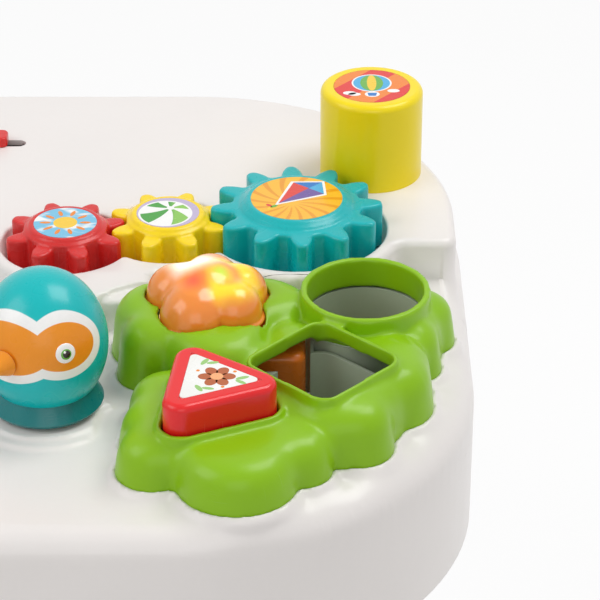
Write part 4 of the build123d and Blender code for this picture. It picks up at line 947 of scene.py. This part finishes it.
def balloon():
    """Striped hot-air balloon over a small cloud, on the round block's film."""
    spot = top_middle("round_sticker")
    rims = [(0, 3.4, 9.8, 9.8, 0), (0, -9.3, 3.6, 3.0, 0)]
    printed_oval("balloon_outline", spot, rims, 1, INKS["white"], "round")
    printed_oval("balloon_bag", spot, [(0, 3.4, 9.0, 9.0, 0)], 2, INKS["sky"], "round")
    printed_oval("balloon_stripes", spot, [(0, 3.4, 5.6, 8.9, 0)], 3, INKS["green"], "round")
    printed_oval("balloon_middle", spot, [(0, 3.4, 2.3, 8.8, 0)], 4, INKS["yellow"], "round")
    basket = [(-2.3, -7.8), (2.3, -7.8), (1.8, -11.2), (-1.8, -11.2)]
    printed_shape("balloon_basket", spot, basket, 2, INKS["blue"], "round")
    puffs = [(-11.0, -8.0, 3.2, 2.0, 0), (-8.6, -9.4, 3.0, 1.8, 0), (10.4, -5.4, 3.0, 1.9, 0)]
    printed_oval("balloon_clouds", spot, puffs, 1, INKS["white"], "round")


def on_surface(tree, middle, angle, z):
    """Point and outward direction where a level ray from the axis leaves a turned body."""
    out = Vector((sin(angle), -cos(angle), 0))
    start = Vector((middle.x, middle.y, z)) + out * 0.1
    point, normal, _, _ = tree.ray_cast(start, -out)
    return point, normal


def bird_eyes():
    """Domed eyes with dark pupils and a painted glint (a small white dome standing for a highlight), seated
    on the bird's face.
    """
    mesh = NODES["bird_body"].data
    tree = BVHTree.FromPolygons([v.co for v in mesh.vertices], [p.vertices for p in mesh.polygons])
    # layers: part, radius, how proud, shift across and up, in mm; the last is a painted highlight
    layers = (("white", 4.4, 1.0, 0.0, 0.0), ("green", 3.1, 1.3, 0.0, -0.2), ("dark", 2.3, 1.6, 0.1, -0.2),
              ("painted_glint", 0.7, 1.9, -0.6, 0.8))
    for side, label in ((1, "right"), (-1, "left")):
        point, normal = on_surface(tree, BIRD, BIRD_FACING + side * EYE_ANGLE, EYE_Z)
        stand = normal.to_track_quat("Z", "Y").to_matrix().to_4x4()
        for part, radius, proud, across, up in layers:
            shape = bmesh.new()
            place = (
                Matrix.Translation(point) @ stand
                @ Matrix.Translation(Vector((side * across, up, 0)) * MM)
                @ Matrix.Diagonal((radius * MM, radius * MM, proud * MM, 1))
            )
            bmesh.ops.create_uvsphere(shape, u_segments=32, v_segments=16, radius=1, matrix=place)
            # the painted highlight takes white ink
            ink = INKS["white" if part == "painted_glint" else part]
            finished(f"eye_{label}_{part}", shape, ink, "bird")


soft_cover()
soft_deck()
soft_lens()
soft_pad()
soft_gear("teal_gear", "teal_toothed_wheel", "teal_wheel", 0.75 * MM)
soft_gear("yellow_gear", "yellow_toothed_wheel", "yellow_wheel", 0.65 * MM)
soft_gear("red_gear", "red_toothed_wheel", "red_wheel", 0.65 * MM)
kite()
sun()
flower()
balloon()
bird_eyes()


# ---------------------------------------------------------------- stage, light and camera
PAPER_SHARE = 0.88     # of the floor's look that is plain white, the rest takes the shadow
SKY_LIGHT = 0.42       # strength of the room's light on the object
FLOOR_HALF = 8         # metres from the middle of the floor to its edge


def eye_rays(wires):
    """1 for rays that show the background: straight, in gloss or through clear plastic."""
    rays = wires.node("LightPath").outputs
    seen = wires.math("MAXIMUM", rays["Is Camera Ray"], rays["Is Glossy Ray"])
    return wires.math("MAXIMUM", seen, rays["Is Transmission Ray"])


def pale_floor():
    """White floor that shows white to the eye and in gloss, and keeps part of the shadow."""
    made, wires, shader = finish_of("pale floor")
    tone = wires.step(wires.noise(wires.place(), 3.0), 0.3, 0.7, 0.0, 1.0)
    wires.join(wires.mix(tone, dye(250, 250, 250), dye(246, 246, 246)), shader.inputs["Base Color"])
    set_up(shader, Roughness=0.7, Specular_IOR_Level=0.1)
    paper = wires.node("Emission", Strength=1.0)
    blend = wires.node("MixShader", Fac=wires.math("MULTIPLY", eye_rays(wires), PAPER_SHARE))
    wires.join(shader.outputs[0], blend.inputs[1])
    wires.join(paper.outputs[0], blend.inputs[2])
    wires.join(blend.outputs[0], made.node_tree.nodes["Material Output"].inputs["Surface"])
    return made


floor_shape = bmesh.new()
bmesh.ops.create_grid(floor_shape, x_segments=1, y_segments=1, size=FLOOR_HALF)
floor_mesh = bpy.data.meshes.new("floor")
floor_shape.to_mesh(floor_mesh)
floor_shape.free()
floor = bpy.data.objects.new("floor", floor_mesh)
bpy.context.scene.collection.objects.link(floor)
floor_mesh.materials.append(pale_floor())


def softbox(name, place, aim, size, power):
    """Square area lamp that points at a spot."""
    data = bpy.data.lights.new(name, "AREA")
    data.shape, data.size, data.energy = "SQUARE", size, power
    lamp = bpy.data.objects.new(name, data)
    lamp.location = place
    lamp.rotation_mode = "QUATERNION"
    lamp.rotation_quaternion = (Vector(aim) - Vector(place)).to_track_quat("-Z", "Y")
    bpy.context.scene.collection.objects.link(lamp)


TABLE_TOP = (0.08, -0.03, 0.36)     # where the lamps point
softbox("key", (0.9, 0.3, 2.0), TABLE_TOP, 1.0, 18)
softbox("fill", (-1.3, -0.5, 1.6), TABLE_TOP, 1.2, 11)
softbox("front", (0.2, -2.2, 1.3), TABLE_TOP, 1.4, 7)

world = bpy.context.scene.world or bpy.data.worlds.new("world")
bpy.context.scene.world = world
world.use_nodes = True
sky = world.node_tree.nodes["Background"]
sky.inputs["Color"].default_value = (1, 1, 1, 1)
air = Wiring(world.node_tree)
shown = air.math("MULTIPLY", eye_rays(air), 1 - SKY_LIGHT)
air.join(air.math("ADD", SKY_LIGHT, shown), sky.inputs["Strength"])

AIM = Vector((0.122, -0.005, 0.355))    # where the camera looks
REACH = 1.16                            # metres from there to the camera
RISE = radians(30)                      # of the camera above the level
camera_data = bpy.data.cameras.new("camera")
camera_data.lens, camera_data.sensor_width = 150, 36
camera = bpy.data.objects.new("camera", camera_data)
camera.location = AIM + REACH * Vector((0, -cos(RISE), sin(RISE)))
camera.rotation_mode = "QUATERNION"
camera.rotation_quaternion = (AIM - camera.location).to_track_quat("-Z", "Y")
bpy.context.scene.collection.objects.link(camera)
bpy.context.scene.camera = camera
bpy.context.scene.view_settings.view_transform = "Standard"
